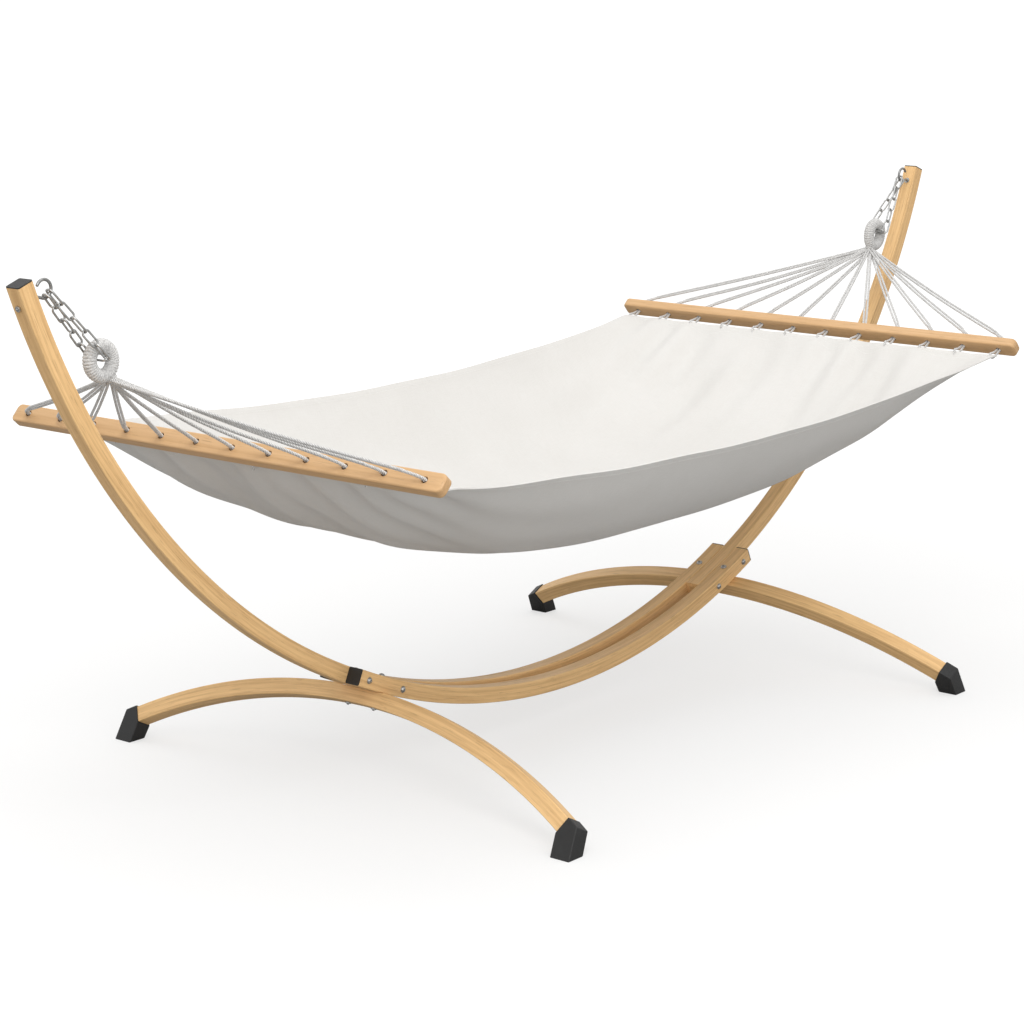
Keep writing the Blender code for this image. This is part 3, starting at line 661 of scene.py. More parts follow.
def grained(piece, coordinates):
    """Stores where each point lies in the wood: along the grain and across it, in metres."""
    values = [c for vertex in piece.data.vertices for c in coordinates(vertex.co)]
    piece.data.attributes.new("grain", "FLOAT_VECTOR", "POINT").data.foreach_set("vector", values)
    return piece


def dress(piece, body, slot, material, *nodes):
    """Gives a finished piece its material and its body, and hides the nodes that it stands for; the slot is
    not used.
    """
    piece.data.materials.clear()
    piece.data.materials.append(material)
    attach(piece, body)
    if nodes:
        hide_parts(*nodes)
    return piece


def toned(colour, factor):
    """A colour made lighter or darker."""
    return tuple(min(1.0, factor * channel) for channel in colour)


def wood_finish(name, light, dark, thickness, relief):
    """Oiled softwood: growth bands and fibres along the grain, and slightly worn edges."""
    finish = Finish(name)
    grain = finish.attribute("grain")
    drift = finish.noise(grain, 1.0, 2.0, stretch=(1.3, 16.0, 16.0))
    _, out, across = finish.split(grain)
    bands = (out * 95.0 + across * 38.0 + drift * 3.4) * (2 * math.pi)
    late_wood = (bands.math("SINE") * 0.5 + 0.5) ** 3.0
    fibres = finish.noise(grain, 1.0, 3.0, 0.6, stretch=(9.0, 330.0, 330.0))
    streaks = finish.noise(grain, 1.0, 3.0, 0.55, stretch=(2.4, 100.0, 100.0))
    cloud = finish.noise(grain, 1.0, 1.0, stretch=(3.0, 9.0, 9.0))
    pores = finish.smooth(finish.noise(grain, 1.0, 2.0, 0.5, stretch=(22.0, 520.0, 520.0)), 0.62, 0.70)
    tone = (late_wood * 0.26 + finish.smooth(streaks, 0.35, 0.70) * 0.38
            + finish.smooth(fibres, 0.36, 0.66) * 0.34 + finish.smooth(cloud, 0.3, 0.7) * 0.10)
    corner = abs(out).math("MINIMUM", abs(across))
    wear = finish.smooth(corner, thickness / 2 - 0.0042, thickness / 2 - 0.0008)
    colour = finish.blend(tone, light, dark)
    colour = finish.blend(pores * 0.45, colour, toned(dark, 0.62))
    colour = finish.blend(wear * 0.22, colour, toned(light, 1.12))
    roughness = fibres * 0.16 + late_wood * 0.05 + wear * 0.08 + 0.40
    return finish.surface(colour, roughness, fibres * 0.6 + late_wood * 0.35 - pores * 0.5, relief,
                          Coat_Weight=0.06, Coat_Roughness=0.45)


def plastic_finish(name, colour):
    """Black moulded plastic with a fine eroded grain."""
    finish = Finish(name)
    place = finish.object_space()
    grain = finish.noise(place, 1500.0, 2.0)
    cloud = finish.noise(place, 40.0, 3.0)
    rubbed = finish.blend(finish.smooth(cloud, 0.45, 0.75) * 0.35, colour, toned(colour, 1.7))
    return finish.surface(rubbed, grain * 0.12 + cloud * 0.16 + 0.34, grain, 0.00025, Specular_IOR_Level=0.45)


def steel_finish(name, colour, roughness):
    """Zinc-plated steel with cloudy plating and fine drawn scratches."""
    finish = Finish(name)
    place = finish.object_space()
    cloud = finish.noise(place, 130.0, 3.0)
    spangle = finish.noise(place, 900.0, 2.0)
    scratches = finish.noise(place, 2600.0, 1.0, stretch=(1.0, 0.25, 1.0))
    tone = finish.smooth(cloud, 0.35, 0.7) * 0.6 + spangle * 0.4
    return finish.surface(finish.blend(tone, colour, toned(colour, 0.62)),
                          cloud * 0.18 + scratches * 0.12 + roughness,
                          scratches * 0.5 + spangle * 0.5, 0.00006, Metallic=1.0)


def rope_finish(name, light, dark):
    """Cotton cord: soft yarns with a few greyer ones, and painted shade darkening the grooves between its
    strands.
    """
    finish = Finish(name)
    place = finish.object_space()
    yarns = finish.noise(place, 1100.0, 2.0, 0.6)
    strands = finish.noise(place, 260.0, 2.0)
    tone = finish.smooth(strands, 0.42, 0.68) * 0.55 + finish.smooth(yarns, 0.35, 0.75) * 0.45
    # Painted shade: the colour darkens towards the grooves between the cord's strands.
    groove = Value(finish, finish.attribute("groove", "Fac"))
    colour = finish.blend(groove ** 2.0 * 0.75, finish.blend(tone, light, dark), toned(dark, 0.42))
    return finish.surface(colour, yarns * 0.1 + 0.86, yarns * 0.6 + strands * 0.4, 0.0004,
                          Sheen_Weight=0.25, Sheen_Roughness=0.5)


def canvas_finish(name, light, dark, thread):
    """Plain-weave cotton canvas: crossing threads, slubs and a soft cloudy tone."""
    finish = Finish(name)
    weave = finish.socket("ShaderNodeUVMap", {"uv_map": "weave"})
    along, across, _ = finish.split(weave)
    warp = (along * (math.pi / thread)).math("SINE")
    weft = (across * (math.pi / thread)).math("SINE")
    over = warp * weft * 0.5 + 0.5
    slub_along = finish.noise(weave, 1.0, 2.0, 0.6, stretch=(35.0, 650.0, 1.0))
    slub_across = finish.noise(weave, 1.0, 2.0, 0.6, stretch=(650.0, 35.0, 1.0))
    slubs = slub_along * 0.5 + slub_across * 0.5
    cloud = finish.noise(weave, 5.0, 3.0)
    tone = ((1.0 - over) * 0.35 + finish.smooth(slubs, 0.35, 0.68) * 0.4
            + finish.smooth(cloud, 0.3, 0.75) * 0.25)
    return finish.surface(finish.blend(tone, light, dark), slubs * 0.1 + 0.84, over * 0.5 + slubs * 0.5,
                          0.0004, Sheen_Weight=0.15, Sheen_Roughness=0.5)


def foot_line(angle, out_of_line=0.0):
    """Y and height in the plane of a foot beam's arc, at an angle from its crown."""
    turn = math.radians(angle)
    radius = FOOT_RADIUS + out_of_line
    return Vector((radius * math.sin(turn), FOOT_CROWN - FOOT_RADIUS + radius * math.cos(turn)))


def foot_point(side, y, up, out):
    """A point of a foot beam's leaning plane: along Y, up the plane, and out of it."""
    point = FOOT_GROUND + up * FOOT_UP + out * FOOT_OUT
    return Vector((side * point.x, y, point.y))


def bent_beam(name, centre, radius, first, last, side, y, edge, steps=110):
    """A square beam bent in the XZ plane, with its grain along the bend."""
    rings = []
    for i in range(steps + 1):
        angle = first + (last - first) * i / steps
        rings.append([lift(side, polar(centre, radius + out, angle), y + across)
                      for out, across in rounded_square(BEAM, BEAM, edge)])

    def coordinates(point):
        flat = Vector((side * point.x, point.z)) - centre
        return (radius * math.atan2(flat.x, -flat.y) + GRAIN_SHIFTS["arm"] * side, flat.length - radius,
                point.y - y)

    return grained(evened(placed(name, skin(rings), 40)), coordinates)


def foot_beam(side, edge, steps=110):
    """An arched foot beam with the seat planed for the middle beams and flats for its nuts."""
    rings = []
    for i in range(steps + 1):
        angle = FOOT_END_ANGLE * (2 * i / steps - 1)
        rings.append([foot_point(side, *foot_line(angle, rise), out)
                      for rise, out in rounded_square(BEAM, BEAM, edge)])
    seat = skin([[lift(side, SEAT + BEAM * (a * square_to(JOINT_NORMAL) + b * JOINT_NORMAL), y)
                  for a, b in ((-1.5, 0), (1.5, 0), (1.5, 2), (-1.5, 2))]
                 for y in (-SEAT_LENGTH / 2, SEAT_LENGTH / 2)])
    top = JOINT - NUT_SEAT * JOINT_NORMAL
    flats = [rod(lift(side, top, y), lift(side, top - BEAM * JOINT_NORMAL, y), SPOT_FACE)
             for y in (-BEAM_STEP, BEAM_STEP)]
    piece = cut(placed(f"foot_beam_wood_{NAMES[side]}", skin(rings), 40), seat, *flats)

    def coordinates(point):
        flat = Vector((side * point.x, point.z)) - FOOT_GROUND
        arm = Vector((point.y, flat.dot(FOOT_UP) - FOOT_CROWN + FOOT_RADIUS))
        return (FOOT_RADIUS * math.atan2(arm.x, arm.y) + GRAIN_SHIFTS["foot"] * side,
                arm.length - FOOT_RADIUS, flat.dot(FOOT_OUT))

    return grained(evened(piece), coordinates)


def foot_cap(side, front, edge):
    """A moulded shoe, flat on the ground, and the cutter for its socket, square to the beam."""
    half = BEAM / 2 + FOOT_CAP_WALL
    mouth_top = foot_line(FOOT_MOUTH_ANGLE, half)
    mouth_low = foot_line(FOOT_MOUTH_ANGLE, -half)
    turn = math.radians(FOOT_MOUTH_ANGLE)
    along = Vector((math.cos(turn), -math.sin(turn)))
    normal = Vector((math.sin(turn), math.cos(turn)))
    crest = mouth_top + FOOT_CAP_TOP * along
    rings = []
    for out in (-half, half):
        ground = -out * math.tan(math.radians(FOOT_TILT))
        outline = [(mouth_low.x + FOOT_CAP_TOE, ground), (crest.x + FOOT_CAP_HEEL, ground),
                   crest, mouth_top, mouth_low]
        rings.append([foot_point(side, front * y, up, out) for y, up in outline])
    width = BEAM + 0.0008
    socket = []
    for depth in (-BEAM, FOOT_CAP_DEPTH):
        middle = foot_line(FOOT_MOUTH_ANGLE) + depth * along
        corners = [(middle + rise * normal, out) for rise, out in rounded_square(width, width, 0.002)]
        socket.append([foot_point(side, front * place.x, place.y, out) for place, out in corners])
    bm = bmesh.new()
    bm.from_mesh(skin(rings))
    bmesh.ops.bevel(bm, geom=bm.edges[:], offset=edge, segments=4, affect="EDGES", profile=0.5)
    return mesh_of(bm), skin(socket)


def bolt_places():
    """Heads, nuts and washers as lists of (point, direction out of the wood)."""
    heads, nuts = [], []
    spread = math.degrees(SIDE_BOLT_PITCH / 2 / MIDDLE_RADIUS)
    face = BEAM_STEP + BEAM / 2
    for side in SIDES.values():
        for angle in (JOINT_ANGLE - spread, JOINT_ANGLE + spread):
            point = polar(MIDDLE_CENTRE, MIDDLE_RADIUS, angle)
            heads.append((lift(side, point, -face), Vector((0.0, -1.0, 0.0))))
            nuts.append((lift(side, point, face), Vector((0.0, 1.0, 0.0))))
        for y in (-BEAM_STEP, BEAM_STEP):
            up = lift(side, JOINT_NORMAL)
            heads.append((lift(side, JOINT + BEAM / 2 * JOINT_NORMAL, y), up))
            nuts.append((lift(side, JOINT - NUT_SEAT * JOINT_NORMAL, y), -up))
        nuts.append((lift(side, HOOK_FACE - BEAM * HOOK_IN), -lift(side, HOOK_IN)))
    return heads, nuts


def bolt_head():
    """A domed head with a socket, on a washer."""
    rim = 0.00625
    dome = [(rim * math.cos(a), 0.0012 + 0.0036 * math.sin(a))
            for a in (math.pi / 2 * i / 7 for i in range(6))]
    profile = [(0, 0.0), (0.00705, 0.0), (0.0072, 0.0003), (0.0072, 0.0010), (0.0070, 0.0012),
               *dome, (0.0024, 0.0047), (0.0022, 0.0045), (0.0021, 0.0028), (0, 0.0026)]
    return lathe(profile, 36)


def hex_nut():
    """A hexagon nut with turned corners, and the end of its bolt."""
    across, height, bolt = 0.0105, 0.0045, 0.0029
    corner = across / math.sqrt(3)
    bm = bmesh.new()
    bm.from_mesh(skin([[Vector((corner * math.cos(a), corner * math.sin(a), z))
                        for a in circle(6)] for z in (0.0, height)]))
    bmesh.ops.bevel(bm, geom=bm.edges[:], offset=0.0005, segments=2, affect="EDGES", profile=0.5)
    thread = [(bolt * (1.0 if i % 2 else 0.9), height - 0.0005 + 0.0005 * i) for i in range(5)]
    tip = height + 0.0022
    bm.from_mesh(lathe([(0, height - 0.001), *thread, (bolt * 0.6, tip), (0, tip)], 20))
    return mesh_of(bm)


def hook_path(side):
    """The hook's centre line, from inside the arm to its tip."""
    def place(reach, rise):
        return lift(side, HOOK_FACE + reach * HOOK_IN + rise * HOOK_UP)

    points = [place(-0.6 * BEAM, 0.0), place(-0.3 * BEAM, 0.0), place(0.0, 0.0)]
    points += [place(*bend) for bend in HOOK_BEND]
    first, last = HOOK_LOOP
    for i in range(15):
        turn = math.radians(first + (last - first) * i / 14)
        points.append(place(HOOK_REACH + HOOK_RADIUS * math.cos(turn),
                            HOOK_RISE + HOOK_RADIUS * math.sin(turn)))
    return smooth_path(points, 0.002)


def cloth_shape(fold):
    """A grid of points on the cloth's middle surface: the sag, then pleats at the cords and waves."""
    along = np.linspace(-1.0, 1.0, CLOTH_COLUMNS + 1)[:, None]
    across = np.linspace(-1.0, 1.0, CLOTH_ROWS + 1)[None, :]
    half = HEM_HALF_WIDTH - CLOTH_WAIST * (1 - along ** 2)
    x = along * HEM.x + 0 * across
    y = half * across
    belly = BELLY * (1 - np.abs(along) ** BELLY_LENGTHWISE) * (1 - np.abs(across) ** BELLY_ACROSS)
    z = HEM.y - 0.001 - EDGE_SAG * (1 - along ** 2) - belly
    from_hem = (1 - np.abs(along)) * HEM.x
    side = np.sign(along)
    cords = (y / CORD_PITCH + 0.5) * 2 * np.pi
    settle = 1 - np.exp(-from_hem / SETTLING)
    pleats = fold * 0.9 * np.exp(-from_hem / PLEAT_REACH) * np.cos(cords) * (0.12 + 0.88 * settle)
    waves = 0
    for number, (wavelength, drift, reach, depth) in enumerate(WAVES):
        lean = drift * side * (1 + 0.4 * np.sin(3.1 * y + number))
        phase = y / wavelength + lean * from_hem + 0.31 * number * number + 0.17 * side
        waves = waves + depth * np.sin(2 * np.pi * phase) * np.exp(-from_hem / reach)
    waves = fold * waves * settle * (1 - 0.55 * np.abs(across) ** 6)
    ripple = 0.0016 * np.sin(11 * x + 1.3) * np.sin(7 * x) * np.abs(across) ** 8
    z = z + (pleats + waves) * (1 - 0.75 * (1 - np.exp(-from_hem / FLATTENING))) + ripple
    return np.stack([x, y, z], axis=-1)


def lengths(points, axis):
    """Distance over the surface from its first row, along one axis of the grid."""
    steps = np.linalg.norm(np.diff(points, axis=axis), axis=-1)
    start = np.zeros_like(np.take(steps, [0], axis=axis))
    return np.concatenate([start, np.cumsum(steps, axis=axis)], axis=axis)


def surface_normals(points):
    """Unit normals of a grid of points, pointing up."""
    normals = np.cross(np.gradient(points, axis=0), np.gradient(points, axis=1))
    return normals / np.linalg.norm(normals, axis=-1, keepdims=True)


def cloth_thickness(sizes, from_end, from_side):
    """Thickness of the cloth: a rolled edge with a cord in it, the hem's folds, and one layer."""
    roll = sizes.hem_roll
    body = np.full_like(from_end, sizes.canvas)
    hem = sizes.canvas * 2.6
    for distance, width in ((from_end, sizes.end_hem), (from_side, sizes.side_hem)):
        step = np.clip((width - distance) / 0.0012, 0.0, 1.0)
        body = np.maximum(body, sizes.canvas + (hem - sizes.canvas) * step)
    arc = np.clip(1 - ((from_end - roll) / roll) ** 2, 0.0, 1.0)
    return np.maximum(body, np.where(from_end < 2 * roll, 2 * roll * np.sqrt(arc), 0.0))


def canvas_piece(name, sizes):
    """The cloth as one closed sheet, its middle surface, that surface's normals and half the thickness."""
    columns, rows = CLOTH_COLUMNS, CLOTH_ROWS
    even = cloth_shape(sizes.fold)
    along_all = lengths(even, 0)
    across_all = lengths(even, 1)
    from_end = np.minimum(along_all, along_all[-1:] - along_all)
    from_side = np.minimum(across_all, across_all[:, -1:] - across_all)
    normals = surface_normals(even)
    half = cloth_thickness(sizes, from_end, from_side)[..., None] / 2
    top, low = even + normals * half, even - normals * half
    count = (columns + 1) * (rows + 1)
    index = np.arange(count).reshape(columns + 1, rows + 1)
    quads = np.stack([index[:-1, :-1], index[1:, :-1], index[1:, 1:], index[:-1, 1:]], -1).reshape(-1, 4)
    border = np.concatenate([index[:, 0], index[-1, 1:], index[-2::-1, -1], index[0, -2:0:-1]])
    ahead = np.roll(border, -1)
    rim = np.stack([ahead, border, border + count, ahead + count], -1)
    faces = np.concatenate([quads, quads[:, ::-1] + count, rim])
    mesh = bpy.data.meshes.new(name)
    mesh.from_pydata(np.concatenate([top.reshape(-1, 3), low.reshape(-1, 3)]).tolist(), [], faces.tolist())
    flat = np.stack([along_all, across_all], -1).reshape(-1, 2)
    flat = np.concatenate([flat, flat])
    corners = np.zeros(len(mesh.loops), np.int32)
    mesh.loops.foreach_get("vertex_index", corners)
    mesh.uv_layers.new(name="weave").data.foreach_set("uv", flat[corners].astype(np.float32).ravel())
    return placed(name, mesh, 60), even, normals, half


def bezier(a, b, c, d, steps):
    """Points after the first on a cubic curve."""
    return [a * (1 - t) ** 3 + 3 * b * t * (1 - t) ** 2 + 3 * c * t * t * (1 - t) + d * t ** 3
            for t in ((i + 1) / steps for i in range(steps))]


def cord_route(side, k, eyelet_height):
    """One doubled cord: from the eye through the bar, over the hem, down an eyelet and back under it."""
    y = HOLES[k]
    share = y / LAST_HOLE
    row = (k % 3 - 1) * 0.0040
    root = lift(side, NECK - NECK_DEPTH * NECK_DIRECTION + row * NECK_SIDE, 0.009 * share)
    start = lift(side, NECK + 0.004 * NECK_DIRECTION + row * 1.1 * NECK_SIDE, 0.012 * share)
    mouth = lift(side, BAR_OUTER, y)
    above = mouth - (0.007 + 0.004 * abs(share)) * lift(side, BAR_AXIS)
    way = (above - start).normalized()
    leave = above - (0.030 + 0.030 * abs(share)) * way
    sag = Vector((0.0, 0.0, -0.0015 - 0.004 * abs(share) * (1 + 0.5 * math.sin(2.7 * k))))
    halfway = start.lerp(leave, 0.55) + sag
    eyelet = Vector((HEM.x - EYELET_PLACE, eyelet_height))
    edge = HEM + Vector((0.001, -0.001))
    fan_normal = lift(side, Vector((-FAN_DROP, FAN_RUN)).normalized())
    beside = way.cross(fan_normal).normalized()
    beside = beside if beside.y > 0 else -beside
    legs = []
    for leg in (-1, 1):
        spread = leg * CORD_PAIR * beside
        off = Vector((0.0, leg * CORD_PAIR, 0.0))
        over = leg * 0.0050
        legs.append([root + 0.6 * spread, start + 0.8 * spread, halfway + spread, leave + spread,
                     *[point + off for point in bezier(leave, leave.lerp(above, 0.75), mouth.lerp(above, 0.9),
                                                       mouth, 5)],
                     lift(side, BAR_INNER, y) + off,
                     lift(side, edge + Vector((0.010, 0.0025 + 0.6 * over)), y) + off,
                     lift(side, edge + Vector((-0.004, over)), y) + off * 0.8])
    turn = [lift(side, eyelet + Vector((0.002, 0.0042)), y + 0.001),
            lift(side, eyelet + Vector((-0.0006, 0.0)), y),
            lift(side, eyelet + Vector((0.002, -0.0042)), y - 0.001)]
    return smooth_path([*legs[1], *turn, *legs[0][::-1]], 0.004)


def white_room(brightness):
    """A world that lights the piece softly and that the camera sees as white."""
    room = bpy.data.worlds.new("white_room")
    room.use_nodes = True
    sky = Builder(room.node_tree)
    seen = sky.value("ShaderNodeLightPath", output="Is Camera Ray")
    backdrop = room.node_tree.nodes["Background"].inputs
    sky.plug(backdrop["Color"], (1.0, 1.0, 1.0))
    sky.plug(backdrop["Strength"], seen * (BACKDROP - brightness) + brightness)
    return room


def floor_finish(name, colour, glow):
    """A matt floor that adds a pale glow, brighter far away, which only the camera sees."""
    finish = Finish(name)
    place = finish.object_space()
    speckle = finish.noise(place, 220.0, 2.0)
    seen = finish.value("ShaderNodeLightPath", output="Is Camera Ray")
    away = finish.value("ShaderNodeVectorMath", {"operation": "LENGTH"}, {0: place}, "Value")
    glowing = finish.blend(finish.smooth(away, *GLOW_SPAN), (glow,) * 3, (glow + GLOW_RISE,) * 3)
    finish.plug(finish.shader.inputs["Emission Color"], finish.blend(seen, (0.0, 0.0, 0.0), glowing))
    return finish.surface(finish.blend(speckle * 0.02, colour, (0.7, 0.7, 0.7)), 0.9,
                          Specular_IOR_Level=0.0, Emission_Strength=1.0)


def aim(scene, data, place, forward):
    """Puts a light or a camera in the scene, looking forward."""
    thing = bpy.data.objects.new(data.name, data)
    thing.location = place
    thing.rotation_euler = forward.to_track_quat("-Z", "Y").to_euler()
    scene.collection.objects.link(thing)
    return thing


class HammockStandSizes(bpy.types.PropertyGroup):
    """Sizes and colours of the stand."""

    edge: FloatProperty(name="Beam edge", description="Radius of the beams' edges", default=0.0026,
                        unit="LENGTH")
    cap_edge: FloatProperty(name="Cap edge", description="Radius of the foot caps' edges", default=0.0022,
                            unit="LENGTH")
    light_wood: FloatVectorProperty(name="Early wood", description="Colour of the light growth",
                                    default=(0.93, 0.605, 0.28), subtype="COLOR")
    dark_wood: FloatVectorProperty(name="Late wood", description="Colour of the dark growth",
                                   default=(0.64, 0.38, 0.157), subtype="COLOR")
    plastic: FloatVectorProperty(name="Plastic", description="Colour of the caps",
                                 default=(0.019, 0.019, 0.019), subtype="COLOR")
    steel: FloatVectorProperty(name="Steel", description="Colour of bolts, hooks and nuts",
                               default=(0.55, 0.55, 0.54), subtype="COLOR")


class HammockBedSizes(bpy.types.PropertyGroup):
    """Sizes and colours of the chains, ropes, bars and cloth."""

    wire: FloatProperty(name="Chain wire", description="Radius of the links' wire", default=0.0021,
                        unit="LENGTH")
    cord: FloatProperty(name="Cord", description="Radius of one fan cord", default=0.0030, unit="LENGTH")
    lay: FloatProperty(name="Lay", description="Length of one turn of the cord's strands", default=0.017,
                       unit="LENGTH")
    strands: IntProperty(name="Strands", description="Strands in a cord", default=3)
    turns: IntProperty(name="Whipping turns", description="Turns round a rope eye", default=38)
    whipping: FloatProperty(name="Whipping cord", description="Radius of the whipping", default=0.0024,
                            unit="LENGTH")
    bar_edge: FloatProperty(name="Bar edge", description="Radius of the spreader bars' edges",
                            default=0.0038, unit="LENGTH")
    canvas: FloatProperty(name="Canvas", description="Thickness of one layer", default=0.0010,
                          unit="LENGTH")
    fold: FloatProperty(name="Folds", description="Depth of the folds at the hems", default=0.0085,
                        unit="LENGTH")
    end_hem: FloatProperty(name="End hem", description="Width of the hems at the bars", default=0.036,
                           unit="LENGTH")
    side_hem: FloatProperty(name="Side hem", description="Width of the long hems", default=0.016,
                            unit="LENGTH")
    hem_roll: FloatProperty(name="Hem cord", description="Radius of the cord rolled into an end hem",
                            default=0.0030, unit="LENGTH")
    stitch: FloatProperty(name="Stitch", description="Length of one stitch", default=0.0034,
                          unit="LENGTH")
    thread: FloatProperty(name="Weave", description="Width of one thread of the canvas",
                          default=0.0011, unit="LENGTH")
    light_bar: FloatVectorProperty(name="Bar, light", description="Light colour of the bars",
                                   default=(0.66, 0.415, 0.207), subtype="COLOR")
    dark_bar: FloatVectorProperty(name="Bar, dark", description="Dark colour of the bars",
                                  default=(0.55, 0.325, 0.145), subtype="COLOR")
    light_canvas: FloatVectorProperty(name="Canvas, light", description="Light colour of the cloth",
                                      default=(0.72, 0.705, 0.68), subtype="COLOR")
    dark_canvas: FloatVectorProperty(name="Canvas, dark", description="Dark colour of the cloth",
                                     default=(0.64, 0.622, 0.59), subtype="COLOR")
    light_cord: FloatVectorProperty(name="Cord, light", description="Light colour of the cords",
                                    default=(0.86, 0.85, 0.83), subtype="COLOR")
    dark_cord: FloatVectorProperty(name="Cord, dark", description="Dark colour of the cords",
                                   default=(0.54, 0.53, 0.52), subtype="COLOR")
    chain: FloatVectorProperty(name="Chain", description="Colour of the chains",
                               default=(0.60, 0.60, 0.59), subtype="COLOR")


class HammockStageSizes(bpy.types.PropertyGroup):
    """Light and camera of the stage."""

    lens: FloatProperty(name="Lens", description="Focal length", default=93.26, unit="CAMERA")
    key: FloatProperty(name="Key light", description="Power of the large soft light", default=100.0,
                       unit="POWER")
    top: FloatProperty(name="Top light", description="Power of the light overhead", default=60.0,
                       unit="POWER")
    front: FloatProperty(name="Front light", description="Power of the low light in front", default=65.0,
                         unit="POWER")
    sky: FloatProperty(name="Surroundings", description="Brightness of the white room", default=0.87)
    floor: FloatVectorProperty(name="Floor", description="Colour of the floor",
                               default=(0.35, 0.348, 0.343), subtype="COLOR")
    glow: FloatProperty(name="Floor glow", description="Light that the floor adds for the camera",
                        default=0.61)


class HAMMOCK_OT_beams(bpy.types.Operator):
    """Builds the six bent beams of the stand"""

    bl_idname = "hammock.beams"
    bl_label = "Beams"

    def execute(self, context):
        sizes = context.scene.hammock_stand
        wood = wood_finish("oiled_larch", sizes.light_wood, sizes.dark_wood, BEAM, 0.00045)
        for end, front in ENDS.items():
            beam = bent_beam(f"middle_beam_wood_{end}", MIDDLE_CENTRE, MIDDLE_RADIUS, -MIDDLE_END_ANGLE,
                             MIDDLE_END_ANGLE, 1, front * BEAM_STEP, sizes.edge)
            dress(beam, "stand", "wood", wood, f"middle_beam_{end}")
        for name, side in SIDES.items():
            arm = bent_beam(f"arm_wood_{name}", ARM_CENTRE, ARM_RADIUS, ARM_FOOT_ANGLE, ARM_TOP_ANGLE,
                            side, 0.0, sizes.edge)
            dress(arm, "stand", "wood", wood, f"arm_{name}")
            dress(foot_beam(side, sizes.edge), "stand", "wood", wood, f"foot_beam_{name}")
        return {"FINISHED"}


class HAMMOCK_OT_caps(bpy.types.Operator):
    """Builds the foot caps and finishes the flat end caps"""

    bl_idname = "hammock.caps"
    bl_label = "Caps"

    def execute(self, context):
        sizes = context.scene.hammock_stand
        plastic = plastic_finish("moulded_plastic", sizes.plastic)
        for name, side in SIDES.items():
            flat_caps = [f"arm_cap_{name}"] + [f"beam_cap_{name}_{end}" for end in ENDS]
            for node in flat_caps:
                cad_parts[node].data.materials.clear()
                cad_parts[node].data.materials.append(plastic)
            for end, front in ENDS.items():
                body, socket = foot_cap(side, front, sizes.cap_edge)
                cap = cut(placed(f"foot_shoe_{name}_{end}", body, 35), socket)
                dress(evened(cap, 50), "stand", "black_plastic", plastic, f"foot_cap_{name}_{end}")
        return {"FINISHED"}


class HAMMOCK_OT_fasteners(bpy.types.Operator):
    """Builds the bolt heads, nuts, washers and hooks"""

    bl_idname = "hammock.fasteners"
    bl_label = "Fasteners and hooks"

    def execute(self, context):
        sizes = context.scene.hammock_stand
        zinc = steel_finish("zinc_bolts", sizes.steel, 0.24)
        wire = steel_finish("dull_wire", toned(sizes.steel, 0.75), 0.26)
        heads, nuts = bolt_places()
        copies = copies_tree()
        kinds = {"bolt_heads": (heads, bolt_head(), ("foot_bolt", "side_bolt")),
                 "hex_nuts": (nuts, hex_nut(), ("foot_nut", "side_nut", "hook_nut"))}
        for name, (places, shape, stems) in kinds.items():
            sample = placed(f"{name}_sample", shape)
            piece = grown(name, copies, pointed(places), {"Piece": sample, "Material": zinc})
            bpy.data.objects.remove(sample)
            piece.data.set_sharp_from_angle(angle=math.radians(35))
            nodes = [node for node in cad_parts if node.startswith(stems)]
            dress(piece, "stand", "bolts", zinc, *nodes)
        washer = [(0.0031, 0.0001), (0.0066, 0.0001), (0.0068, 0.0003), (0.0068, 0.0011), (0.0066, 0.0013),
                  (0.0031, 0.0013)]
        for name, side in SIDES.items():
            hook = placed(f"hook_wire_{name}", round_wire(hook_path(side), HOOK_WIRE, 18), 50)
            dress(hook, "stand", "steel", wire, f"hook_{name}")
            ring = [[lift(side, HOOK_FACE + height * HOOK_IN + radius * math.cos(a) * HOOK_UP,
                          radius * math.sin(a)) for radius, height in washer]
                    for a in circle(32)]
            dress(placed(f"hook_ring_{name}", skin(ring, True), 35), "stand", "steel", zinc,
                  f"hook_washer_{name}")
        return {"FINISHED"}


class HAMMOCK_OT_chains(bpy.types.Operator):
    """Builds the two double chains"""

    bl_idname = "hammock.chains"
    bl_label = "Chains"

    def execute(self, context):
        sizes = context.scene.hammock_bed
        steel = steel_finish("chain_zinc", sizes.chain, 0.25)
        tree = link_tree()
        for name, side in SIDES.items():
            for end, front in ENDS.items():
                lean = math.asin(STRAND_STEP / HOOK_RADIUS)
                start = lift(side, BEARING - HOOK_RADIUS * (1 - math.cos(lean)) * PULL
                             + front * STRAND_STEP * CROSSWISE)
                finish = lift(side, BEARING + EYE_LINK_PLACE * PULL, front * STRAND_SIDE)
                along = (finish - start).normalized()
                stretch = (finish - start).length / EYE_LINK_PLACE
                first = start + (FIRST_CROWN + LINK_LENGTH / 2) * stretch * along
                strand = grown(f"chain_links_{name}_{end}", tree, bpy.data.meshes.new("none"),
                               {"Count": STRAND_LINKS, "First": first, "Step": LINK_PITCH * stretch * along,
                                "Across": Vector((0.0, 1.0, 0.0)), "Length": LINK_LENGTH * stretch,
                                "Width": LINK_WIDTH, "Wire": sizes.wire, "First Wider": 0.12,
                                "Material": steel})
                dress(strand, "suspension", "chain", steel, f"chain_{name}_{end}")
            middle = lift(side, BEARING + EYE_LINK_PLACE * PULL)
            link = grown(f"eye_link_{name}", tree, bpy.data.meshes.new("none"),
                         {"Count": 1, "First": middle, "Step": Vector((0.0, 1.0, 0.0)),
                          "Across": lift(side, CROSSWISE), "Length": 2 * STRAND_SIDE, "Width": LINK_WIDTH,
                          "Wire": sizes.wire, "First Wider": 0.0, "Material": steel})
            dress(link, "suspension", "chain", steel, f"chain_eye_link_{name}")
        return {"FINISHED"}


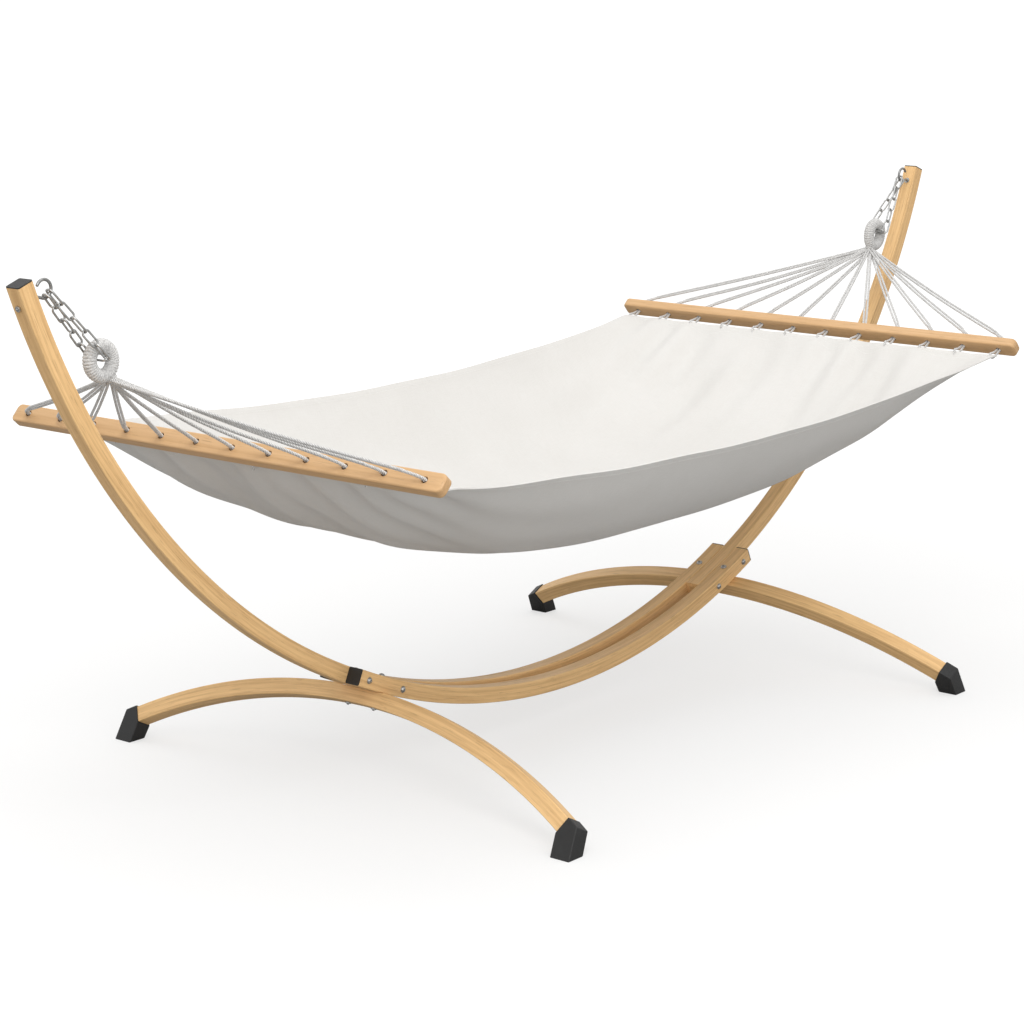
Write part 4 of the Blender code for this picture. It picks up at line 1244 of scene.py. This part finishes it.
class HAMMOCK_OT_ropes(bpy.types.Operator):
    """Builds the whipped rope eyes and the fans of doubled cords"""

    bl_idname = "hammock.ropes"
    bl_label = "Rope eyes and cords"

    def execute(self, context):
        sizes = context.scene.hammock_bed
        cotton = rope_finish("cotton_cord", sizes.light_cord, sizes.dark_cord)
        wound = rope_finish("wound_cord", toned(sizes.light_cord, 0.80), toned(sizes.dark_cord, 0.70))
        whipping, laid = whipping_tree(), cord_tree()
        eyelet_rows = [round((y / HEM_HALF_WIDTH + 1) * CLOTH_ROWS / 2) for y in HOLES]
        heights = cloth_shape(sizes.fold)[:, eyelet_rows, 2]
        for name, side in SIDES.items():
            ring = [lift(side, EYE_CENTRE + EYE_RADIUS * math.cos(a) * (1.06 if math.cos(a) > 0 else 1.0)
                         * NECK_DIRECTION + 0.97 * EYE_RADIUS * math.sin(a) * NECK_SIDE)
                    for a in circle(96)]
            eye = grown(f"rope_eye_whipping_{name}", whipping, polyline(ring, closed=True),
                        {"Turns": float(sizes.turns), "Rope": EYE_TUBE, "Cord": sizes.whipping,
                         "Centre": lift(side, EYE_CENTRE), "Ring": EYE_RADIUS, "Crowding": 0.85,
                         "Material": wound})
            dress(eye, "bed", "rope", wound, f"rope_eye_{name}")
            core = round_wire(ring, EYE_TUBE - 1.1 * sizes.whipping, 20, True)
            dress(placed(f"rope_eye_core_{name}", core, 60), "bed", "rope", wound)
            neck = [lift(side, NECK + (0.001 * i - NECK_DEPTH) * NECK_DIRECTION) for i in range(15)]
            knot = grown(f"neck_whipping_{name}", whipping, polyline(neck),
                         {"Turns": 3.0, "Rope": NECK_RADIUS + 0.0015, "Cord": sizes.whipping * 0.8,
                          "Centre": lift(side, NECK), "Ring": 1.0, "Crowding": 0.0, "Material": wound})
            dress(knot, "bed", "rope", wound)
            stem = placed(f"neck_core_{name}", round_wire(neck, NECK_RADIUS - 0.003, 20), 60)
            dress(stem, "bed", "rope", cotton)
            column = CLOTH_COLUMNS - EYELET_COLUMN if side > 0 else EYELET_COLUMN
            routes = [cord_route(side, k, height) for k, height in enumerate(heights[column])]
            fan = grown(f"fan_cords_{name}", laid, polyline(*routes),
                        {"Cord": sizes.cord, "Strands": sizes.strands, "Lay": sizes.lay, "Step": 0.0035,
                         "Material": cotton})
            dress(fan, "bed", "rope", cotton, f"cord_fan_{name}")
        return {"FINISHED"}


class HAMMOCK_OT_bars(bpy.types.Operator):
    """Builds the two spreader bars"""

    bl_idname = "hammock.bars"
    bl_label = "Spreader bars"

    def execute(self, context):
        sizes = context.scene.hammock_bed
        wood = wood_finish("sanded_bar", sizes.light_bar, sizes.dark_bar, BAR_THICKNESS, 0.0003)
        half = LAST_HOLE + BAR_OVERHANG
        middle = BAR_OUTER + BAR_THICKNESS / 2 * BAR_AXIS
        for name, side in SIDES.items():
            rings = []
            ends = [(-half + BAR_CORNER * (1 - math.sin(a)), 1 - math.cos(a))
                    for a in (math.pi / 2 * i / 8 for i in range(8, 0, -1))]
            places = ends + [(-half + BAR_CORNER + (half - BAR_CORNER) * i / 20, 0.0) for i in range(41)]
            places += [(-place, share) for place, share in reversed(ends)]
            for y, trim in sorted(set(places)):
                outline = rounded_square(BAR_WIDTH - 2 * trim * BAR_CORNER,
                                         BAR_THICKNESS - 0.7 * trim * BAR_CORNER, sizes.bar_edge)
                rings.append([lift(side, middle + a * BAR_UP + b * BAR_AXIS, y) for a, b in outline])
            bar = placed(f"spreader_bar_wood_{name}", skin(rings), 40)
            holes = [rod(lift(side, BAR_OUTER - 0.01 * BAR_AXIS, y),
                         lift(side, BAR_INNER + 0.01 * BAR_AXIS, y), BAR_HOLE) for y in HOLES]
            evened(cut(bar, *holes))

            def coordinates(point):
                flat = Vector((side * point.x, point.z)) - middle
                return (point.y + GRAIN_SHIFTS["bar"] * side, flat.dot(BAR_AXIS), flat.dot(BAR_UP))

            grained(bar, coordinates)
            dress(bar, "bed", "bar_wood", wood, f"spreader_bar_{name}")
        return {"FINISHED"}


class HAMMOCK_OT_cloth(bpy.types.Operator):
    """Builds the cloth with its hems and stitches"""

    bl_idname = "hammock.cloth"
    bl_label = "Cloth"

    def execute(self, context):
        sizes = context.scene.hammock_bed
        canvas = canvas_finish("cotton_canvas", sizes.light_canvas, sizes.dark_canvas, sizes.thread)
        thread = rope_finish("sewing_thread", sizes.light_cord, sizes.light_canvas)
        cloth, even, normals, half = canvas_piece("canvas_sheet", sizes)
        dress(cloth, "bed", "canvas", canvas, "hammock_cloth")
        along, across = lengths(even, 0), lengths(even, 1)
        seams = []
        columns, rows = CLOTH_COLUMNS, CLOTH_ROWS
        for face in (1, -1):
            surface = even + normals * (half + 0.0002) * face
            for inset in (0.0105, sizes.end_hem - 0.0025):
                column = int(np.argmin(np.abs(along[:, rows // 2] - inset)))
                for end in (column, columns - column):
                    seams.append([Vector(point) for point in surface[end, 2:-2]])
            row = int(np.argmin(np.abs(across[columns // 2] - (sizes.side_hem - 0.0022))))
            for end in (row, rows - row):
                seams.append([Vector(point) for point in surface[3:-3, end]])
        stitches = grown("hem_stitches", stitch_tree(), polyline(*seams),
                         {"Spacing": sizes.stitch * 1.35, "Length": sizes.stitch, "Thread": 0.00035,
                          "Material": thread})
        dress(stitches, "bed", "canvas", thread)
        return {"FINISHED"}


class HAMMOCK_OT_stage(bpy.types.Operator):
    """Sets the floor, the soft studio light and the camera"""

    bl_idname = "hammock.stage"
    bl_label = "Stage"

    def execute(self, context):
        sizes = context.scene.hammock_stage
        context.scene.view_settings.view_transform = "Standard"
        context.scene.world = white_room(sizes.sky)
        floor = placed("floor", bpy.data.meshes.new("floor"))
        bm = bmesh.new()
        bmesh.ops.create_grid(bm, x_segments=2, y_segments=2, size=60.0)
        bm.to_mesh(floor.data)
        bm.free()
        floor.data.materials.append(floor_finish("pale_floor", sizes.floor, sizes.glow))
        for name, (width, place) in LIGHTS.items():
            light = bpy.data.lights.new(f"{name}_light", "AREA")
            light.energy = getattr(sizes, name)
            light.shape = "DISK"
            light.size = width
            aim(context.scene, light, place, LIGHT_AIM - Vector(place))
        lens = bpy.data.cameras.new("camera")
        lens.lens = sizes.lens
        lens.sensor_width = 36.0
        lens.clip_end = 200.0
        level = math.cos(CAMERA_PITCH)
        forward = Vector((math.sin(CAMERA_YAW) * level, math.cos(CAMERA_YAW) * level, math.sin(CAMERA_PITCH)))
        context.scene.camera = aim(context.scene, lens, CAMERA_PLACE, forward)
        return {"FINISHED"}


class HAMMOCK_PT_panel(bpy.types.Panel):
    """Lists the pieces and their sizes."""

    bl_label = "Hammock"
    bl_idname = "HAMMOCK_PT_panel"
    bl_space_type = "VIEW_3D"
    bl_region_type = "UI"
    bl_category = "Hammock"

    def draw(self, context):
        for operator in OPERATORS:
            self.layout.operator(operator.bl_idname)
        for label in GROUPS:
            group = getattr(context.scene, label)
            box = self.layout.box()
            for name in group.bl_rna.properties.keys():
                if name not in ("rna_type", "name"):
                    box.prop(group, name)


OPERATORS = (HAMMOCK_OT_beams, HAMMOCK_OT_caps, HAMMOCK_OT_fasteners, HAMMOCK_OT_chains, HAMMOCK_OT_ropes,
             HAMMOCK_OT_bars, HAMMOCK_OT_cloth, HAMMOCK_OT_stage)
GROUPS = {"hammock_stand": HammockStandSizes, "hammock_bed": HammockBedSizes,
          "hammock_stage": HammockStageSizes}


def register():
    for kind in (*GROUPS.values(), *OPERATORS, HAMMOCK_PT_panel):
        bpy.utils.register_class(kind)
    for label, kind in GROUPS.items():
        setattr(bpy.types.Scene, label, PointerProperty(type=kind))


def unregister():
    for label in GROUPS:
        delattr(bpy.types.Scene, label)
    for kind in (HAMMOCK_PT_panel, *reversed(OPERATORS), *reversed(GROUPS.values())):
        bpy.utils.unregister_class(kind)


def main():
    register()
    bpy.ops.hammock.beams()
    bpy.ops.hammock.caps()
    bpy.ops.hammock.fasteners()
    bpy.ops.hammock.chains()
    bpy.ops.hammock.ropes()
    bpy.ops.hammock.bars()
    bpy.ops.hammock.cloth()
    bpy.ops.hammock.stage()


if __name__ == "__main__":
    main()
